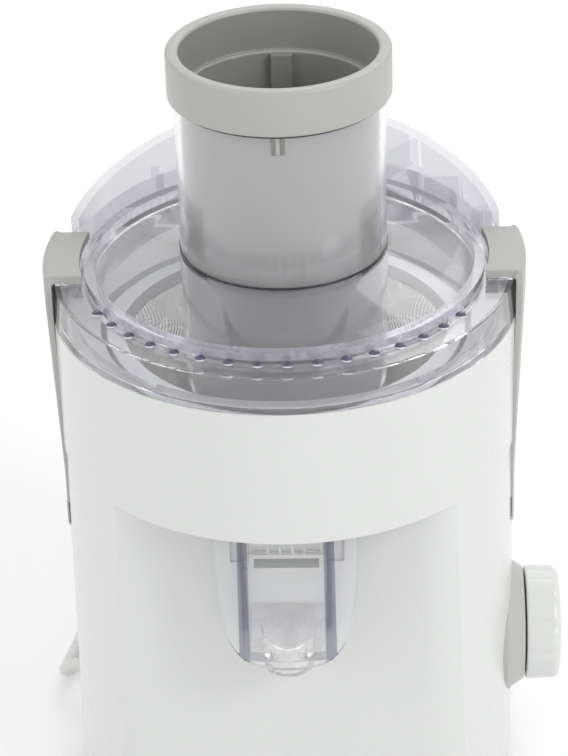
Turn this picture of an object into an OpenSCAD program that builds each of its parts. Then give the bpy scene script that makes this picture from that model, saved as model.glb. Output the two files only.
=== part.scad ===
/* [Motor base] */
// Radius of the housing at its foot
body_r = 96; // [94:0.5:99]
// How much the housing narrows from its foot to its upper edge
body_taper = 1.8; // [1.2:0.1:2.4]
// Height of the housing above the base plate
housing_h = 166.6; // [160:1:180]
// Wall of the white mouldings
wall = 2.6; // [2:0.1:3]
// Distance from the axis to the flattened front face
front_y = 68; // [66:0.5:70]
// Radius of the bends beside the front face
front_blend = 30; // [20:1:34]
// Distance from the axis to the flat back of the housing
back_y = 62; // [58:0.5:64]
// Thickness of the base plate
plate_t = 4; // [3:0.5:6]
// Height of the rubber feet
foot_h = 4; // [3:0.5:6]
// Radius of the rubber feet
foot_r = 9; // [7:0.5:11]

/* [Juice bowl] */
// How far the white ring's top stands out from the housing's upper edge
ring_step = 1.2; // [1:0.1:1.6]
// Height of the white ring
ring_h = 58.9; // [56:0.1:62]
// Radius of the juice trough
trough_r = 76.5; // [76:0.1:77.5]
// Outer radius of the tube round the drive
hub_tube_r = 28; // [27:0.2:29]
// Width of the juice outlet
outlet_w = 26; // [22:0.5:27]

/* [Lid] */
// Height of the clear side wall
skirt_h = 16.1; // [14:0.1:20]
// Wall of the clear mouldings
clear_t = 2.4; // [2:0.1:2.8]
// Inner radius of the raised ring on the deck
bead_r = 77.6; // [75:0.2:79]
// Width of the raised ring
bead_w = 4.2; // [3.6:0.2:5]
// Height of the raised ring above the deck
bead_h = 3.4; // [2:0.2:5]
// Rise of the inner cover from the raised ring to the chute
cover_rise = 12.6; // [8:0.2:15]
// Number of dimples along the front of the deck
dimples = 16; // [8:1:18]
// Angle between two dimples
dimple_step = 7.8; // [6:0.1:8]
// Turn of the row of dimples from the front
dimple_turn = -2; // [-6:0.5:6]
// Radius of a dimple
dimple_r = 2; // [1.2:0.1:2.2]
// Half width of the rear hood
hood_a = 90; // [88:0.5:92]
// Reach of the rear hood behind the axis
hood_b = 132; // [126:1:145]
// Radius of the rear hood's end
hood_tip_r = 68; // [60:1:72]
// Height of the hood's roof above the deck
hood_rise = 11; // [8:0.5:15]

/* [Chute and pusher] */
// Outer radius of the feed chute
chute_r = 42; // [40:0.5:43]
// Height of the chute's mouth above the deck
chute_h = 76; // [66:1:90]
// Wall of the pusher
pusher_t = 2.2; // [1.8:0.1:2.8]
// Height of the pusher's collar
collar_h = 18.8; // [16:0.2:24]
// Outer radius of the pusher's collar
collar_r = 44.6; // [44:0.2:47]
// Depth of the cup in the collar
cup_depth = 18; // [12:0.5:18.5]

/* [Filter basket] */
// Outer radius of the pale band round the basket
band_r = 74; // [72:0.5:74.5]
// Width of the pale band
band_w = 7; // [5:0.5:9]
// Radius of the grater disc
grater_r = 41; // [38:0.5:43]
// Height of the grater teeth
tooth_h = 1.6; // [1:0.1:2]
// Number of rows of teeth
tooth_rows = 7; // [4:1:8]
// Thickness of the mesh
mesh_t = 0.6; // [0.4:0.1:1]
// Number of meridian slots in one row of the mesh
mesh_slots = 36; // [24:4:44]

/* [Spout] */
// Half width of the clear shield
shield_half_w = 29; // [26:0.5:32]
// Height of the shield below the white ring
shield_drop = 63; // [55:1:70]
// Outer radius of the nozzle
nozzle_r = 10.3; // [9:0.1:11]
// Radius of the hole through the nozzle
nozzle_bore_r = 7.2; // [5:0.1:8]

/* [Lock arms] */
// Width of an arm at the top
arm_w = 41; // [36:1:44]
// Width of an arm at its pivot
arm_foot_w = 30; // [26:1:34]
// Thickness of an arm
arm_t = 2.6; // [2.4:0.1:3.4]
// Height of the pivots above the table
pivot_z = 139; // [132:1:146]
// Radius of the pivot pins
pin_r = 2; // [1.5:0.1:2.4]

/* [Speed knob] */
// Height of the knob's axis above the table
knob_z = 70; // [64:1:80]
// Radius of the knob
knob_r = 25; // [20:0.5:28]
// Length of the knob
knob_len = 15; // [10:0.5:20]
// Radius of the grey bezel against the housing
bezel_r = 32; // [29:0.5:36]

/* [Motor] */
// Radius of the stator
stator_r = 36; // [32:0.5:40]
// Height of the stator stack
stack_h = 44; // [36:1:50]
// Radius of the motor shaft
shaft_r = 4; // [3:0.1:5]
// Radius of the cooling fan
fan_r = 33; // [28:0.5:36]
// Number of fan blades
fan_blades = 10; // [6:1:14]

/* [Pulp container] */
// Gap between the container and the housing
container_gap = 2.4; // [1.6:0.1:3]
// Wall of the pulp container
container_t = 2.2; // [1.8:0.1:3]

/* [Hidden] */
$fn = 96;

// Clearances between pieces
seam = 0.4;
slip = 0.3;
running = 0.05;
eps = 0.02;
// Small step where two arcs of a plan meet, so that they never lie in each other
step = 0.05;

// Levels above the table
plate_top = foot_h + plate_t;
body_top = plate_top + housing_h;
bowl_z = body_top + seam;
floor_z = bowl_z + 3;
rim_z = bowl_z + ring_h;
deck_z = rim_z + skirt_h;
mouth_z = deck_z + chute_h;
collar_z = mouth_z + seam;
deck_plate_z = body_top - wall;

// Motor levels, from the fan up to the posts that carry the motor
fan_z = plate_top + 13;
lower_bracket_z = fan_z + 27;
stack_z = lower_bracket_z + 28;
upper_bracket_z = stack_z + stack_h + 15;
mount_top = upper_bracket_z + 11;
post_h = deck_plate_z - mount_top;

// Radii that follow
body_top_r = body_r - body_taper;
ring_r = body_top_r + ring_step;
ring_low_r = ring_r - 0.4;
shelf_r = ring_r - 5.6;
lid_r = ring_r - 0.2;
deck_r = ring_r - 1.2;
bead_out_r = bead_r + bead_w;
chute_in_r = chute_r - clear_t;
pusher_r = chute_in_r - slip;
pusher_in_r = pusher_r - pusher_t;
cup_r = collar_r - 5.2;
trough_out_r = trough_r + wall;

// Basket levels, from the grater disc up to the band
grater_z = floor_z + 12;
mesh_foot_z = grater_z + 1;
band_top_z = rim_z - 12.4;
band_h = 6;
mesh_top_r = band_r - band_w + 1;
pusher_foot_z = grater_z + tooth_h + 3;

// The housing's plan: a circle with a flattened front and a flat back
module round_corner_flat(r, y, blend, dir) {
    corner_x = sqrt(pow(r - blend, 2) - pow(y - blend, 2));
    touch_y = (y - blend) * r / (r - blend);
    for (side = [-1, 1])
        translate([side * corner_x, dir * (y - blend)]) circle(r = blend - step);
    translate([-corner_x, dir > 0 ? 0 : -y]) square([2 * corner_x, y]);
    intersection() {
        circle(r = r);
        translate([-r, dir > 0 ? -eps : -touch_y]) square([2 * r, touch_y + eps]);
    }
}
module housing_plan(r, inset) {
    round_corner_flat(r - inset, front_y - inset, front_blend, -1);
    round_corner_flat(r - inset, back_y - inset, 12, 1);
}

// The egg-shaped plan shared by hood, pulp duct and container
module egg_plan(inset) {
    a = hood_a - inset;
    b = hood_b - inset;
    tip = hood_tip_r - inset;
    tip_y = b - tip;
    side_x = (pow(tip_y, 2) - pow(a - tip, 2)) / (2 * (a - tip));
    side_r = a + side_x;
    touch_y = side_r * tip_y / (side_r - tip);
    intersection() {
        translate([-side_x, 0]) circle(r = side_r, $fn = 180);
        translate([side_x, 0]) circle(r = side_r, $fn = 180);
        translate([-a, 0]) square([2 * a, touch_y]);
    }
    translate([0, tip_y]) circle(r = tip - step);
}
module behind(y, reach = 200) {
    translate([-reach / 2, y]) square([reach, reach]);
}

// A ring round the axis, from its inner radius to its outer one
module ring(r_in, r_out, z, h) {
    translate([0, 0, z]) difference() {
        cylinder(r = r_out, h = h);
        translate([0, 0, -1]) cylinder(r = r_in, h = h + 2);
    }
}

// ---- Motor base ----
screw_spots = [[-74, -28], [74, -28], [-54, 44], [54, 44]];
mount_spot = 38;
bezel_depth = 8;
barrel_r = pin_r + 2.2;
arm_end_r = barrel_r + 3.9;
pocket_r = arm_end_r + slip;
pocket_half = arm_foot_w / 2 + slip;
pivot_x = body_top_r + 2.7 - pocket_r;
cord_z = 16;
cord_deg = 156;
relief_r = 5.6;
relief_in = 84;
foot_round = 7;

// Radius of the housing's side at a level
function housing_r(z) = body_r
    + (body_top_r - body_r) * (z - plate_top - foot_round) / (housing_h - foot_round);
bezel_x = housing_r(knob_z) - 2.8;
switch_x = bezel_x - 22.6;

module housing_solid(inset, z0, z1) {
    round_r = max(foot_round - inset, 1);
    intersection() {
        translate([0, 0, z0]) linear_extrude(z1 - z0) housing_plan(body_r + 0.6, inset);
        rotate_extrude() {
            polygon([[0, z0], [body_r - inset - round_r, z0], [body_r - inset, z0 + round_r],
                [body_top_r - inset, z1], [0, z1]]);
            translate([body_r - inset - round_r, z0 + round_r]) intersection() {
                circle(r = round_r);
                translate([0, -round_r]) square(round_r);
            }
        }
    }
}

// Round pocket about an arm's pivot
module arm_pocket(grow) {
    for (side = [-1, 1]) about_pivot(side, pocket_r + grow, 2 * pocket_half + 2 * grow);
}
module about_pivot(side, r, w) {
    translate([side * pivot_x, 0, pivot_z]) rotate([90, 0, 0]) cylinder(r = r, h = w, center = true);
}

module base_housing() {
    color("white") difference() {
        union() {
            difference() {
                housing_solid(0, plate_top, body_top);
                housing_solid(wall, plate_top - 1, deck_plate_z);
                translate([0, 0, deck_plate_z - 1]) cylinder(r = 30, h = wall + 2);
            }
            // Collar round the drive, with the seat of the seal
            ring(13, 30.5, deck_plate_z, wall);
            ring(13, 16, deck_plate_z - 8, 12);
            // Ring that carries the bowl
            ring(60, 60 + wall, body_top - 1, floor_z - body_top + 1);
            // Walls of the arm pockets, and backs of the channels that the arms lie in
            intersection() {
                union() {
                    arm_pocket(wall);
                    for (side = [-1, 1]) intersection() {
                        ring(arm_low_r - arm_low_t - slip - 1.9, body_r, pivot_z, deck_plate_z + 1 - pivot_z);
                        arm_side(side, wall);
                    }
                }
                housing_solid(0, plate_top, body_top);
            }
            // Screw posts, each with a web to the wall
            for (p = screw_spots) {
                translate([p[0], p[1], plate_top]) cylinder(r = 5, h = 30);
                intersection() {
                    translate([p[0], p[1], plate_top]) rotate(atan2(p[1], p[0]))
                        translate([0, -1, 0]) cube([40, 2, 24]);
                    housing_solid(wall / 2, plate_top, body_top);
                }
            }
            for (x = [-mount_spot, mount_spot], y = [-mount_spot, mount_spot])
                translate([x, y, mount_top]) cylinder(r = 6, h = post_h + 1);
            // Boss behind the cord's way out
            intersection() {
                rotate(cord_deg) translate([relief_in, 0, cord_z]) rotate([0, 90, 0])
                    cylinder(r = relief_r + 2, h = body_r - relief_in);
                housing_solid(0, plate_top, body_top);
            }
        }
        arm_pocket(0);
        for (side = [-1, 1]) arm_channel(side);
        // Shallow recess that the juice outlet and the spout sit in
        translate([-recess_half, -front_y - 10, outlet_low_z - 2])
            cube([2 * recess_half, 10 + recess_depth, body_top - outlet_low_z + 3]);
        for (p = screw_spots) translate([p[0], p[1], plate_top - 1]) cylinder(r = 1.6, h = 24);
        for (x = [-mount_spot, mount_spot], y = [-mount_spot, mount_spot])
            translate([x, y, mount_top - 1]) cylinder(r = 2.2, h = 0.7 * post_h);
        translate([0, 0, knob_z]) rotate([0, 90, 0]) cylinder(r = 12, h = body_r);
        rotate(cord_deg) translate([relief_in - 1, 0, cord_z]) rotate([0, 90, 0])
            cylinder(r = relief_r, h = body_r);
        pin_hole(-1);
        pin_hole(1);
    }
}

module pin_hole(side) { about_pivot(side, pin_r + running, arm_foot_w + 8); }

foot_spots = [[-55, -44], [55, -44], [-46, 92], [46, 92]];

module base_plate() {
    color("white") difference() {
        translate([0, 0, foot_h]) linear_extrude(plate_t - eps) {
            housing_plan(body_r, 7);
            intersection() {
                egg_plan(3);
                behind(back_y - 10);
            }
        }
        for (p = foot_spots) translate([p[0], p[1], foot_h - 1])
            cylinder(r = foot_r - 3, h = plate_t / 2 + 1);
        for (p = screw_spots) translate([p[0], p[1], foot_h - 1]) {
            cylinder(r = 2.2, h = plate_t + 2);
            cylinder(r = 4.2, h = 3);
        }
        for (i = [0:11]) rotate(i * 30) translate([14, -1.5, foot_h - 1]) cube([18, 3, plate_t + 2]);
    }
}

module feet() {
    color("dimgray") for (p = foot_spots) translate([p[0], p[1], 0]) {
        cylinder(r1 = foot_r - 1, r2 = foot_r, h = 1);
        translate([0, 0, 1]) cylinder(r = foot_r, h = foot_h - 1);
        cylinder(r = foot_r - 3 - running, h = foot_h + plate_t / 2);
    }
}

module base_screws() {
    color("silver") for (p = screw_spots) translate([p[0], p[1], foot_h]) difference() {
        union() {
            translate([0, 0, 0.4]) cylinder(r = 3.8, h = 1.6);
            cylinder(r = 1.55, h = plate_t + 18);
        }
        cube([5, 0.9, 2.4], center = true);
        cube([0.9, 5, 2.4], center = true);
    }
}

// ---- Speed control ----
bezel_top_r = knob_r - 0.4;
shaft_knob_r = 3;

module knob_bezel() {
    color([0.78, 0.78, 0.76]) translate([0, 0, knob_z]) rotate([0, 90, 0]) difference() {
        union() {
            translate([0, 0, bezel_x - 4]) cylinder(r = bezel_r, h = 4);
            translate([0, 0, bezel_x]) cylinder(r1 = bezel_r, r2 = bezel_top_r, h = bezel_depth);
        }
        // Underside that follows the housing
        rotate([0, -90, 0]) translate([0, 0, -knob_z])
            cylinder(r1 = housing_r(0) + 0.1, r2 = housing_r(body_top) + 0.1, h = body_top);
        translate([0, 0, switch_x]) cylinder(r = shaft_knob_r + running, h = 60);
        translate([0, 0, bezel_x + 2]) cylinder(r = bezel_top_r - 4, h = bezel_depth);
    }
}

module speed_knob() {
    face_x = bezel_x + bezel_depth + seam;
    color("whitesmoke") translate([0, 0, knob_z]) rotate([0, 90, 0]) difference() {
        union() {
            rotate_extrude() {
                polygon([[0, face_x], [knob_r, face_x], [knob_r - 0.6, face_x + knob_len - 4],
                    [knob_r - 4.6, face_x + knob_len - 4], [0, face_x + knob_len - 4]]);
                translate([0, face_x + knob_len - 4 - eps]) square([knob_r - 4.6, 4 + eps]);
                translate([knob_r - 4.6, face_x + knob_len - 4]) intersection() {
                    circle(r = 4);
                    square(4);
                }
            }
            translate([0, 0, bezel_x + 3 + slip]) cylinder(r = bezel_top_r - 5, h = bezel_depth);
        }
        translate([0, 0, bezel_x]) cylinder(r = shaft_knob_r, h = bezel_depth + knob_len - 4);
        // Grip flutes
        for (i = [0:11]) rotate(15 + i * 30) translate([knob_r + 3.4, 0, face_x + 2])
            cylinder(r = 4.6, h = knob_len - 5);
        // Pointer groove on the rim, towards the top at rest
        translate([-knob_r - 1, -0.7, face_x + knob_len - 0.8]) cube([10, 1.4, 2]);
    }
}

module knob_shaft() {
    color("silver") translate([0, 0, knob_z]) rotate([0, 90, 0]) difference() {
        translate([0, 0, switch_x - 3])
            cylinder(r = shaft_knob_r - running, h = bezel_x - switch_x + bezel_depth + knob_len - 2);
        translate([shaft_knob_r - 1, -5, switch_x + 17]) cube([5, 10, 60]);
    }
}

module rotary_switch() {
    color("dimgray") translate([0, 0, knob_z]) rotate([0, 90, 0]) difference() {
        union() {
            translate([0, 0, switch_x]) cylinder(r = 14, h = 12);
            translate([0, 0, switch_x + 12]) cylinder(r = 6, h = 7);
            translate([-17, -6, switch_x]) cube([34, 12, 4]);
        }
        translate([0, 0, switch_x - 10]) cylinder(r = shaft_knob_r + running, h = 60);
    }
}

// ---- Lock arms ----
arm_in_r = ring_r + slip;
arm_r = arm_in_r + arm_t;
arm_low_r = body_top_r + 1.2;
arm_low_t = arm_t - 0.4;
pad_h = 1.7;
hook_t = 3.3;
hook_in_r = bead_out_r + 1.6;
hook_z = deck_z + pad_h + slip;
arm_top = hook_z + hook_t;

module pivot_pin(side) {
    color("silver") about_pivot(side, pin_r, arm_foot_w + 7);
}
module pivot_pin_left() { pivot_pin(-1); }
module pivot_pin_right() { pivot_pin(1); }

// Outline of an arm seen from its side, as a bar that reaches outwards
module arm_side(side, grow) {
    foot = arm_foot_w / 2 + grow;
    top = arm_w / 2 + grow;
    translate([side * 60, 0, 0]) rotate([90, 0, 90 * side]) linear_extrude(60)
        polygon([[-foot, pivot_z - 12], [foot, pivot_z - 12], [foot, pivot_z + 10], [top, pivot_z + 70],
            [top, arm_top + 1], [-top, arm_top + 1], [-top, pivot_z + 70], [-foot, pivot_z + 10]]);
}
// Section of the bar: it lies against the ring at the top and sinks into the housing towards its foot
module arm_bar() {
    rotate_extrude() polygon([[arm_low_r - arm_low_t, pivot_z - 12], [arm_low_r, pivot_z - 12],
        [arm_low_r, pivot_z + 20], [arm_r, deck_z - 8], [arm_r, arm_top - 1.2], [arm_r - 1.2, arm_top],
        [arm_in_r - 2, arm_top], [arm_in_r - 2, hook_z], [arm_in_r, hook_z], [arm_in_r, rim_z],
        [arm_low_r - arm_low_t, pivot_z + 10]]);
}
// Room for a bar in the housing and the bowl's ring
module arm_channel(side) {
    intersection() {
        rotate_extrude() polygon([[arm_low_r - arm_low_t - slip, pivot_z], [150, pivot_z], [150, rim_z],
            [arm_in_r - slip, rim_z], [arm_low_r - arm_low_t - slip, pivot_z + 10]]);
        arm_side(side, slip);
    }
}

module arm(side) {
    hook_w = arm_w - 2;
    color([0.72, 0.72, 0.70]) difference() {
        union() {
            intersection() {
                arm_bar();
                arm_side(side, 0);
                union() {
                    translate([-150, -50, pivot_z]) cube([300, 100, 200]);
                    about_pivot(side, arm_end_r, 100);
                }
            }
            // Hook over the lid
            intersection() {
                ring(hook_in_r, arm_in_r - 1, hook_z, hook_t);
                translate([side > 0 ? 60 : -120, -hook_w / 2, deck_z]) cube([60, hook_w, 10]);
            }
            // Barrel, and the foot that joins it to the bar
            about_pivot(side, barrel_r, arm_foot_w);
            intersection() {
                about_pivot(side, arm_end_r, arm_foot_w);
                cylinder(r = arm_low_r - 0.6, h = 200);
                translate([side > 0 ? pivot_x : -pivot_x - 20, -50, 0]) cube([20, 100, 200]);
            }
        }
        pin_hole(side);
        // Finger grooves on the outside
        for (i = [0:3]) translate([0, 0, deck_z - 66 + i * 6]) intersection() {
            difference() {
                cylinder(r = arm_r + 2, h = 2);
                translate([0, 0, -1]) cylinder(r = arm_low_r + 0.4 + i * 0.2, h = 4);
            }
            translate([side > 0 ? 60 : -120, -11, -1]) cube([60, 22, 4]);
        }
    }
}
module left_arm() { arm(-1); }
module right_arm() { arm(1); }

// ---- Motor ----
bore_r = 21;
air_gap = 0.6;
bearing_r = 11;
bearing_h = 7;
tie_r = stator_r + 5;
pole_half = 13;
coil_w_t = 7;
coil_y = 23;

module motor_bracket(z, boss_up) {
    color("silver") difference() {
        union() {
            translate([0, 0, z]) cylinder(r = bearing_r + 4, h = 4);
            translate([0, 0, boss_up ? z : z - bearing_h + 4]) cylinder(r = bearing_r + 2.4, h = bearing_h);
            for (a = [0, 90]) rotate(a) translate([-tie_r - 5, -7, z]) cube([2 * tie_r + 10, 14, 4]);
        }
        translate([0, 0, boss_up ? z + 1 : z - bearing_h + 3]) cylinder(r = bearing_r, h = bearing_h);
        translate([0, 0, z - 12]) cylinder(r = shaft_r + 2, h = 30);
        for (a = [0:90:270]) rotate(a) translate([tie_r, 0, z - 1]) cylinder(r = 2.1, h = 6);
    }
}

module motor_bracket_upper() {
    motor_bracket(upper_bracket_z, true);
    color("silver") for (a = [45:90:315]) rotate(a) translate([0, 0, upper_bracket_z]) difference() {
        union() {
            translate([bearing_r + 1, -5, 0.4]) cube([mount_spot * sqrt(2) - bearing_r - 1, 10, 3.2]);
            translate([mount_spot * sqrt(2), 0, 0]) cylinder(r = 7, h = 4);
        }
        translate([mount_spot * sqrt(2), 0, -1]) cylinder(r = 4, h = 6);
    }
}
module motor_bracket_lower() { motor_bracket(lower_bracket_z, false); }

module motor_mounts() {
    color("black") for (x = [-mount_spot, mount_spot], y = [-mount_spot, mount_spot])
        translate([x, y, upper_bracket_z]) difference() {
            union() {
                translate([0, 0, 4 + running]) cylinder(r = 6.5, h = 7 - 2 * running);
                translate([0, 0, -running]) cylinder(r = 4 - running, h = 6);
                translate([0, 0, -3]) cylinder(r = 6.5, h = 3 - running);
            }
            translate([0, 0, -4]) cylinder(r = 2.4, h = 20);
        }
}

module tie_bolts() {
    span = upper_bracket_z + 4 - (lower_bracket_z - 3);
    color("silver") for (a = [0:90:270]) rotate(a) translate([tie_r, 0, lower_bracket_z - 3]) {
        cylinder(r = 2, h = span + 3);
        cylinder(r = 3.6, h = 3 - running);
        translate([0, 0, span + running]) cylinder(r = 3.6, h = 3, $fn = 6);
        translate([0, 0, 7 + running]) cylinder(r = 3.2, h = stack_z - lower_bracket_z - 4 - 2 * running);
        translate([0, 0, stack_z + stack_h - lower_bracket_z + 3 + running])
            cylinder(r = 3.2, h = upper_bracket_z - stack_z - stack_h - 2 * running);
    }
}

module stator_core() {
    color("dimgray") translate([0, 0, stack_z]) difference() {
        union() {
            cylinder(r = stator_r, h = stack_h);
            for (a = [0:90:270]) rotate(a) translate([tie_r, 0, 0]) cylinder(r = 5, h = stack_h);
            for (a = [0:90:270]) rotate(a) translate([stator_r - 3, -5, 0]) cube([8, 10, stack_h]);
        }
        translate([0, 0, -1]) cylinder(r = bore_r, h = stack_h + 2);
        for (a = [0:90:270]) rotate(a) translate([tie_r, 0, -1]) cylinder(r = 2.1, h = stack_h + 2);
        // Slots that the field coils pass through
        for (side = [-1, 1], x = [-pole_half - coil_w_t - 2 * slip, pole_half])
            translate([x, side * coil_y - coil_w_t / 2 - slip, -1])
                cube([coil_w_t + 2 * slip, coil_w_t + 2 * slip, stack_h + 2]);
    }
}

module field_coils() {
    out_half = pole_half + slip + coil_w_t;
    in_half = pole_half + slip;
    color("peru") for (side = [-1, 1]) difference() {
        translate([-out_half, side * coil_y - coil_w_t / 2, stack_z - 9])
            cube([2 * out_half, coil_w_t, stack_h + 18]);
        translate([-in_half, side * coil_y - coil_w_t, stack_z - slip])
            cube([2 * in_half, 2 * coil_w_t, stack_h + 2 * slip]);
    }
}

comm_z = lower_bracket_z + 9;
comm_r = 11;
module brush_gear() {
    color("goldenrod") for (side = [-1, 1]) translate([0, 0, comm_z + 2]) difference() {
        translate([side > 0 ? comm_r + 3 : -comm_r - 23, -5, 0]) cube([20, 10, 9]);
        translate([side > 0 ? comm_r + 1 : -comm_r - 21, -3, 2]) cube([20, 6, 5]);
    }
    color("black") for (side = [-1, 1]) translate([0, 0, comm_z + 4 + running])
        translate([side > 0 ? comm_r + slip : -comm_r - slip - 16, -3 + running, 0])
            cube([16, 6 - 2 * running, 5 - 2 * running]);
    color("ivory") for (side = [-1, 1])
        translate([side > 0 ? comm_r + 3 : -comm_r - 23, -8, lower_bracket_z + 4])
            cube([20, 16, comm_z + 2 - lower_bracket_z - 4]);
}

module bearing(z) {
    color("silver") {
        ring(shaft_r + running, shaft_r + 2.6, z, bearing_h - 1);
        ring(bearing_r - 2.6, bearing_r - running, z, bearing_h - 1);
        ring(shaft_r + 2.5, bearing_r - 2.5, z + 0.8, bearing_h - 2.6);
    }
}
module bearing_upper() { bearing(upper_bracket_z + 1); }
module bearing_lower() { bearing(lower_bracket_z - bearing_h + 3); }

shaft_foot_z = fan_z - 3;
shaft_end_z = grater_z - 5;
module motor_shaft() {
    color("silver") translate([0, 0, shaft_foot_z]) cylinder(r = shaft_r, h = shaft_end_z - shaft_foot_z);
}

module armature() {
    slots = 12;
    color("dimgray") translate([0, 0, stack_z]) difference() {
        cylinder(r = bore_r - air_gap, h = stack_h);
        translate([0, 0, -1]) cylinder(r = shaft_r + running, h = stack_h + 2);
        for (i = [0:slots - 1]) rotate(i * 360 / slots) translate([12, -1.4, -1])
            cube([12, 2.8, stack_h + 2]);
    }
    color("peru") for (z = [stack_z - 7, stack_z + stack_h + running])
        ring(shaft_r + 3, bore_r - 3.5, z, 7 - running);
}

module commutator() {
    bars = 24;
    color("darkorange") translate([0, 0, comm_z]) difference() {
        cylinder(r = comm_r, h = 12);
        translate([0, 0, -1]) cylinder(r = shaft_r + running, h = 14);
        for (i = [0:bars - 1]) rotate(i * 360 / bars) translate([comm_r - 1.2, -0.25, -1])
            cube([3, 0.5, 14]);
    }
}

module cooling_fan() {
    blade_h = 12;
    color("gainsboro") {
        ring(shaft_r + running, 9, fan_z, blade_h + 3);
        ring(8.9, fan_r, fan_z + blade_h, 2);
        for (i = [0:fan_blades - 1]) rotate(i * 360 / fan_blades)
            translate([8.5, 0, fan_z + 0.5]) rotate(-18) translate([0, -0.8, 0])
                cube([fan_r - 11.5, 1.6, blade_h]);
    }
}

// ---- Drive ----
coupling_z = body_top + 6.5;
coupling_r = 19;
dogs = 6;
basket_floor_t = 3;
module drive_coupling() {
    top = grater_z - basket_floor_t;
    color("dimgray") difference() {
        union() {
            translate([0, 0, coupling_z]) cylinder(r = coupling_r, h = 3);
            translate([0, 0, coupling_z + 3 - eps]) cylinder(r = 11, h = top - coupling_z - 3 + eps);
            for (i = [0:dogs - 1]) rotate(i * 360 / dogs)
                translate([9, -2, coupling_z + 2]) cube([8, 4, top + 1 - coupling_z - 2]);
        }
        translate([0, 0, coupling_z - 1]) cylinder(r = shaft_r + running, h = shaft_end_z - coupling_z + 2);
    }
}

module shaft_seal() {
    color("black") {
        ring(9, 13 - running, deck_plate_z - 8, 10);
        ring(shaft_r + 0.1, 9.5, deck_plate_z - 1, 2);
    }
}

// ---- Juice bowl ----
duct_y = back_y + container_gap + container_t;
duct_wall = 2.4;
outlet_y = front_y + 1;
outlet_depth = trough_r - outlet_y;
outlet_low_z = bowl_z - 24;
outlet_wall = 1.8;
outlet_front_y = outlet_y + outlet_depth + outlet_wall;
recess_half = 23;
recess_depth = 1.2;

// Half section of the bowl, revolved about the axis
module bowl_section() {
    polygon([[ring_low_r - wall, bowl_z], [ring_low_r, bowl_z], [ring_r, rim_z], [shelf_r, rim_z],
        [shelf_r, rim_z - 3.4], [trough_r, rim_z - 11], [trough_r, floor_z + wall],
        [hub_tube_r, floor_z + wall + 1.5], [hub_tube_r, grater_z - 5.5],
        [hub_tube_r - wall, grater_z - 5.5], [hub_tube_r - wall, floor_z],
        [trough_out_r, floor_z], [trough_out_r, rim_z - 13.4], [shelf_r, rim_z - 7],
        [ring_low_r - wall, rim_z - 7]]);
}

// Space behind the trough that the pulp drops through
module duct_space(inset, z0, z1) {
    translate([0, 0, z0]) linear_extrude(z1 - z0) difference() {
        intersection() {
            egg_plan(duct_wall + inset);
            behind(duct_y + inset);
        }
        circle(r = trough_out_r + inset);
    }
}

module juice_bowl() {
    outer_w = outlet_w + 2 * outlet_wall;
    lip_z = outlet_low_z + 7.6;
    cell_z = lip_z + 1.8;
    color("white") difference() {
        union() {
            rotate_extrude() bowl_section();
            // Floor between the trough and the ring
            ring(trough_out_r - 1, ring_low_r - wall + 1, floor_z, wall);
            // Rear duct
            translate([0, 0, bowl_z]) linear_extrude(ring_h) difference() {
                intersection() {
                    egg_plan(0);
                    behind(duct_y - duct_wall);
                }
                circle(r = trough_out_r - 1);
            }
            // Outlet shaft in front of the housing
            translate([-outer_w / 2, -outlet_front_y, outlet_low_z])
                cube([outer_w, outlet_depth + outlet_wall, floor_z - outlet_low_z + 1]);
            // Lip above the mouth, and the frame of the cells over it
            translate([-outer_w / 2, -outlet_front_y - 1.6, lip_z]) cube([outer_w, 2, 1.8]);
            translate([-7.6, -outlet_front_y - 1.2, cell_z - 1]) cube([15.2, 1.5, 8]);
        }
        for (side = [-1, 1]) arm_channel(side);
        // Cells in the frame, and a flat slot on each side of it
        for (x = [-4.9, 0, 4.9]) translate([x - 1.9, -outlet_front_y - 2, cell_z + 0.4]) cube([3.8, 2.6, 5]);
        for (side = [-1, 1]) translate([side * 10.8 - 2.6, -outlet_front_y - 1, cell_z + 0.6])
            cube([5.2, 2, 2.6]);
        duct_space(0, bowl_z - 1, rim_z + 1);
        ring(hub_tube_r, trough_r, floor_z + wall + 1.2, ring_h);
        // Outlet way down
        translate([-outlet_w / 2, -outlet_y - outlet_depth, outlet_low_z + 2])
            cube([outlet_w, outlet_depth - 1.6, floor_z - outlet_low_z + 8]);
        // Mouth of the outlet
        translate([-outlet_w / 2, -outlet_front_y - 1, outlet_low_z + 2])
            cube([outlet_w, 4, lip_z - outlet_low_z - 2]);
    }
}

// ---- Spout ----
shield_r = ring_low_r - wall - 0.4;
shield_t = 2.2;
shield_low_z = bowl_z - shield_drop;
channel_half = outlet_w / 2 + 2.1;
channel_t = 3;
channel_back_y = front_y + 0.6;
nozzle_y = channel_back_y + nozzle_r + slip;
funnel_r = nozzle_y - channel_back_y - 0.4;
funnel_low_z = shield_low_z + 6;
funnel_high_z = shield_low_z + 17;
nozzle_len = 5;
nozzle_z = shield_low_z - nozzle_len;
// Half of the shield's outline, as shares of its half width and of its drop
shield_curve = [[1, -0.035], [1, 0.24], [0.975, 0.46], [0.92, 0.61], [0.81, 0.81], [0.66, 0.92],
    [0.48, 0.968],
    [0.26, 0.993], [0, 1]];

module shield_outline() {
    half = [for (p = smooth(shield_curve, 4)) [p[0] * shield_half_w, bowl_z - p[1] * shield_drop]];
    polygon(concat(half, [for (i = [len(half) - 2:-1:0]) [-half[i][0], half[i][1]]]));
}

// Floor of the channel, falling towards the front
module channel_floor() {
    translate([channel_half + 1, 0, 0]) rotate([90, 0, -90]) linear_extrude(2 * channel_half + 2)
        polygon([[channel_back_y, funnel_high_z], [channel_back_y, shield_low_z + 7],
            [channel_back_y + 6, shield_low_z + 3],
            [shield_r, shield_low_z + 3], [shield_r, funnel_low_z]]);
}

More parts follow.
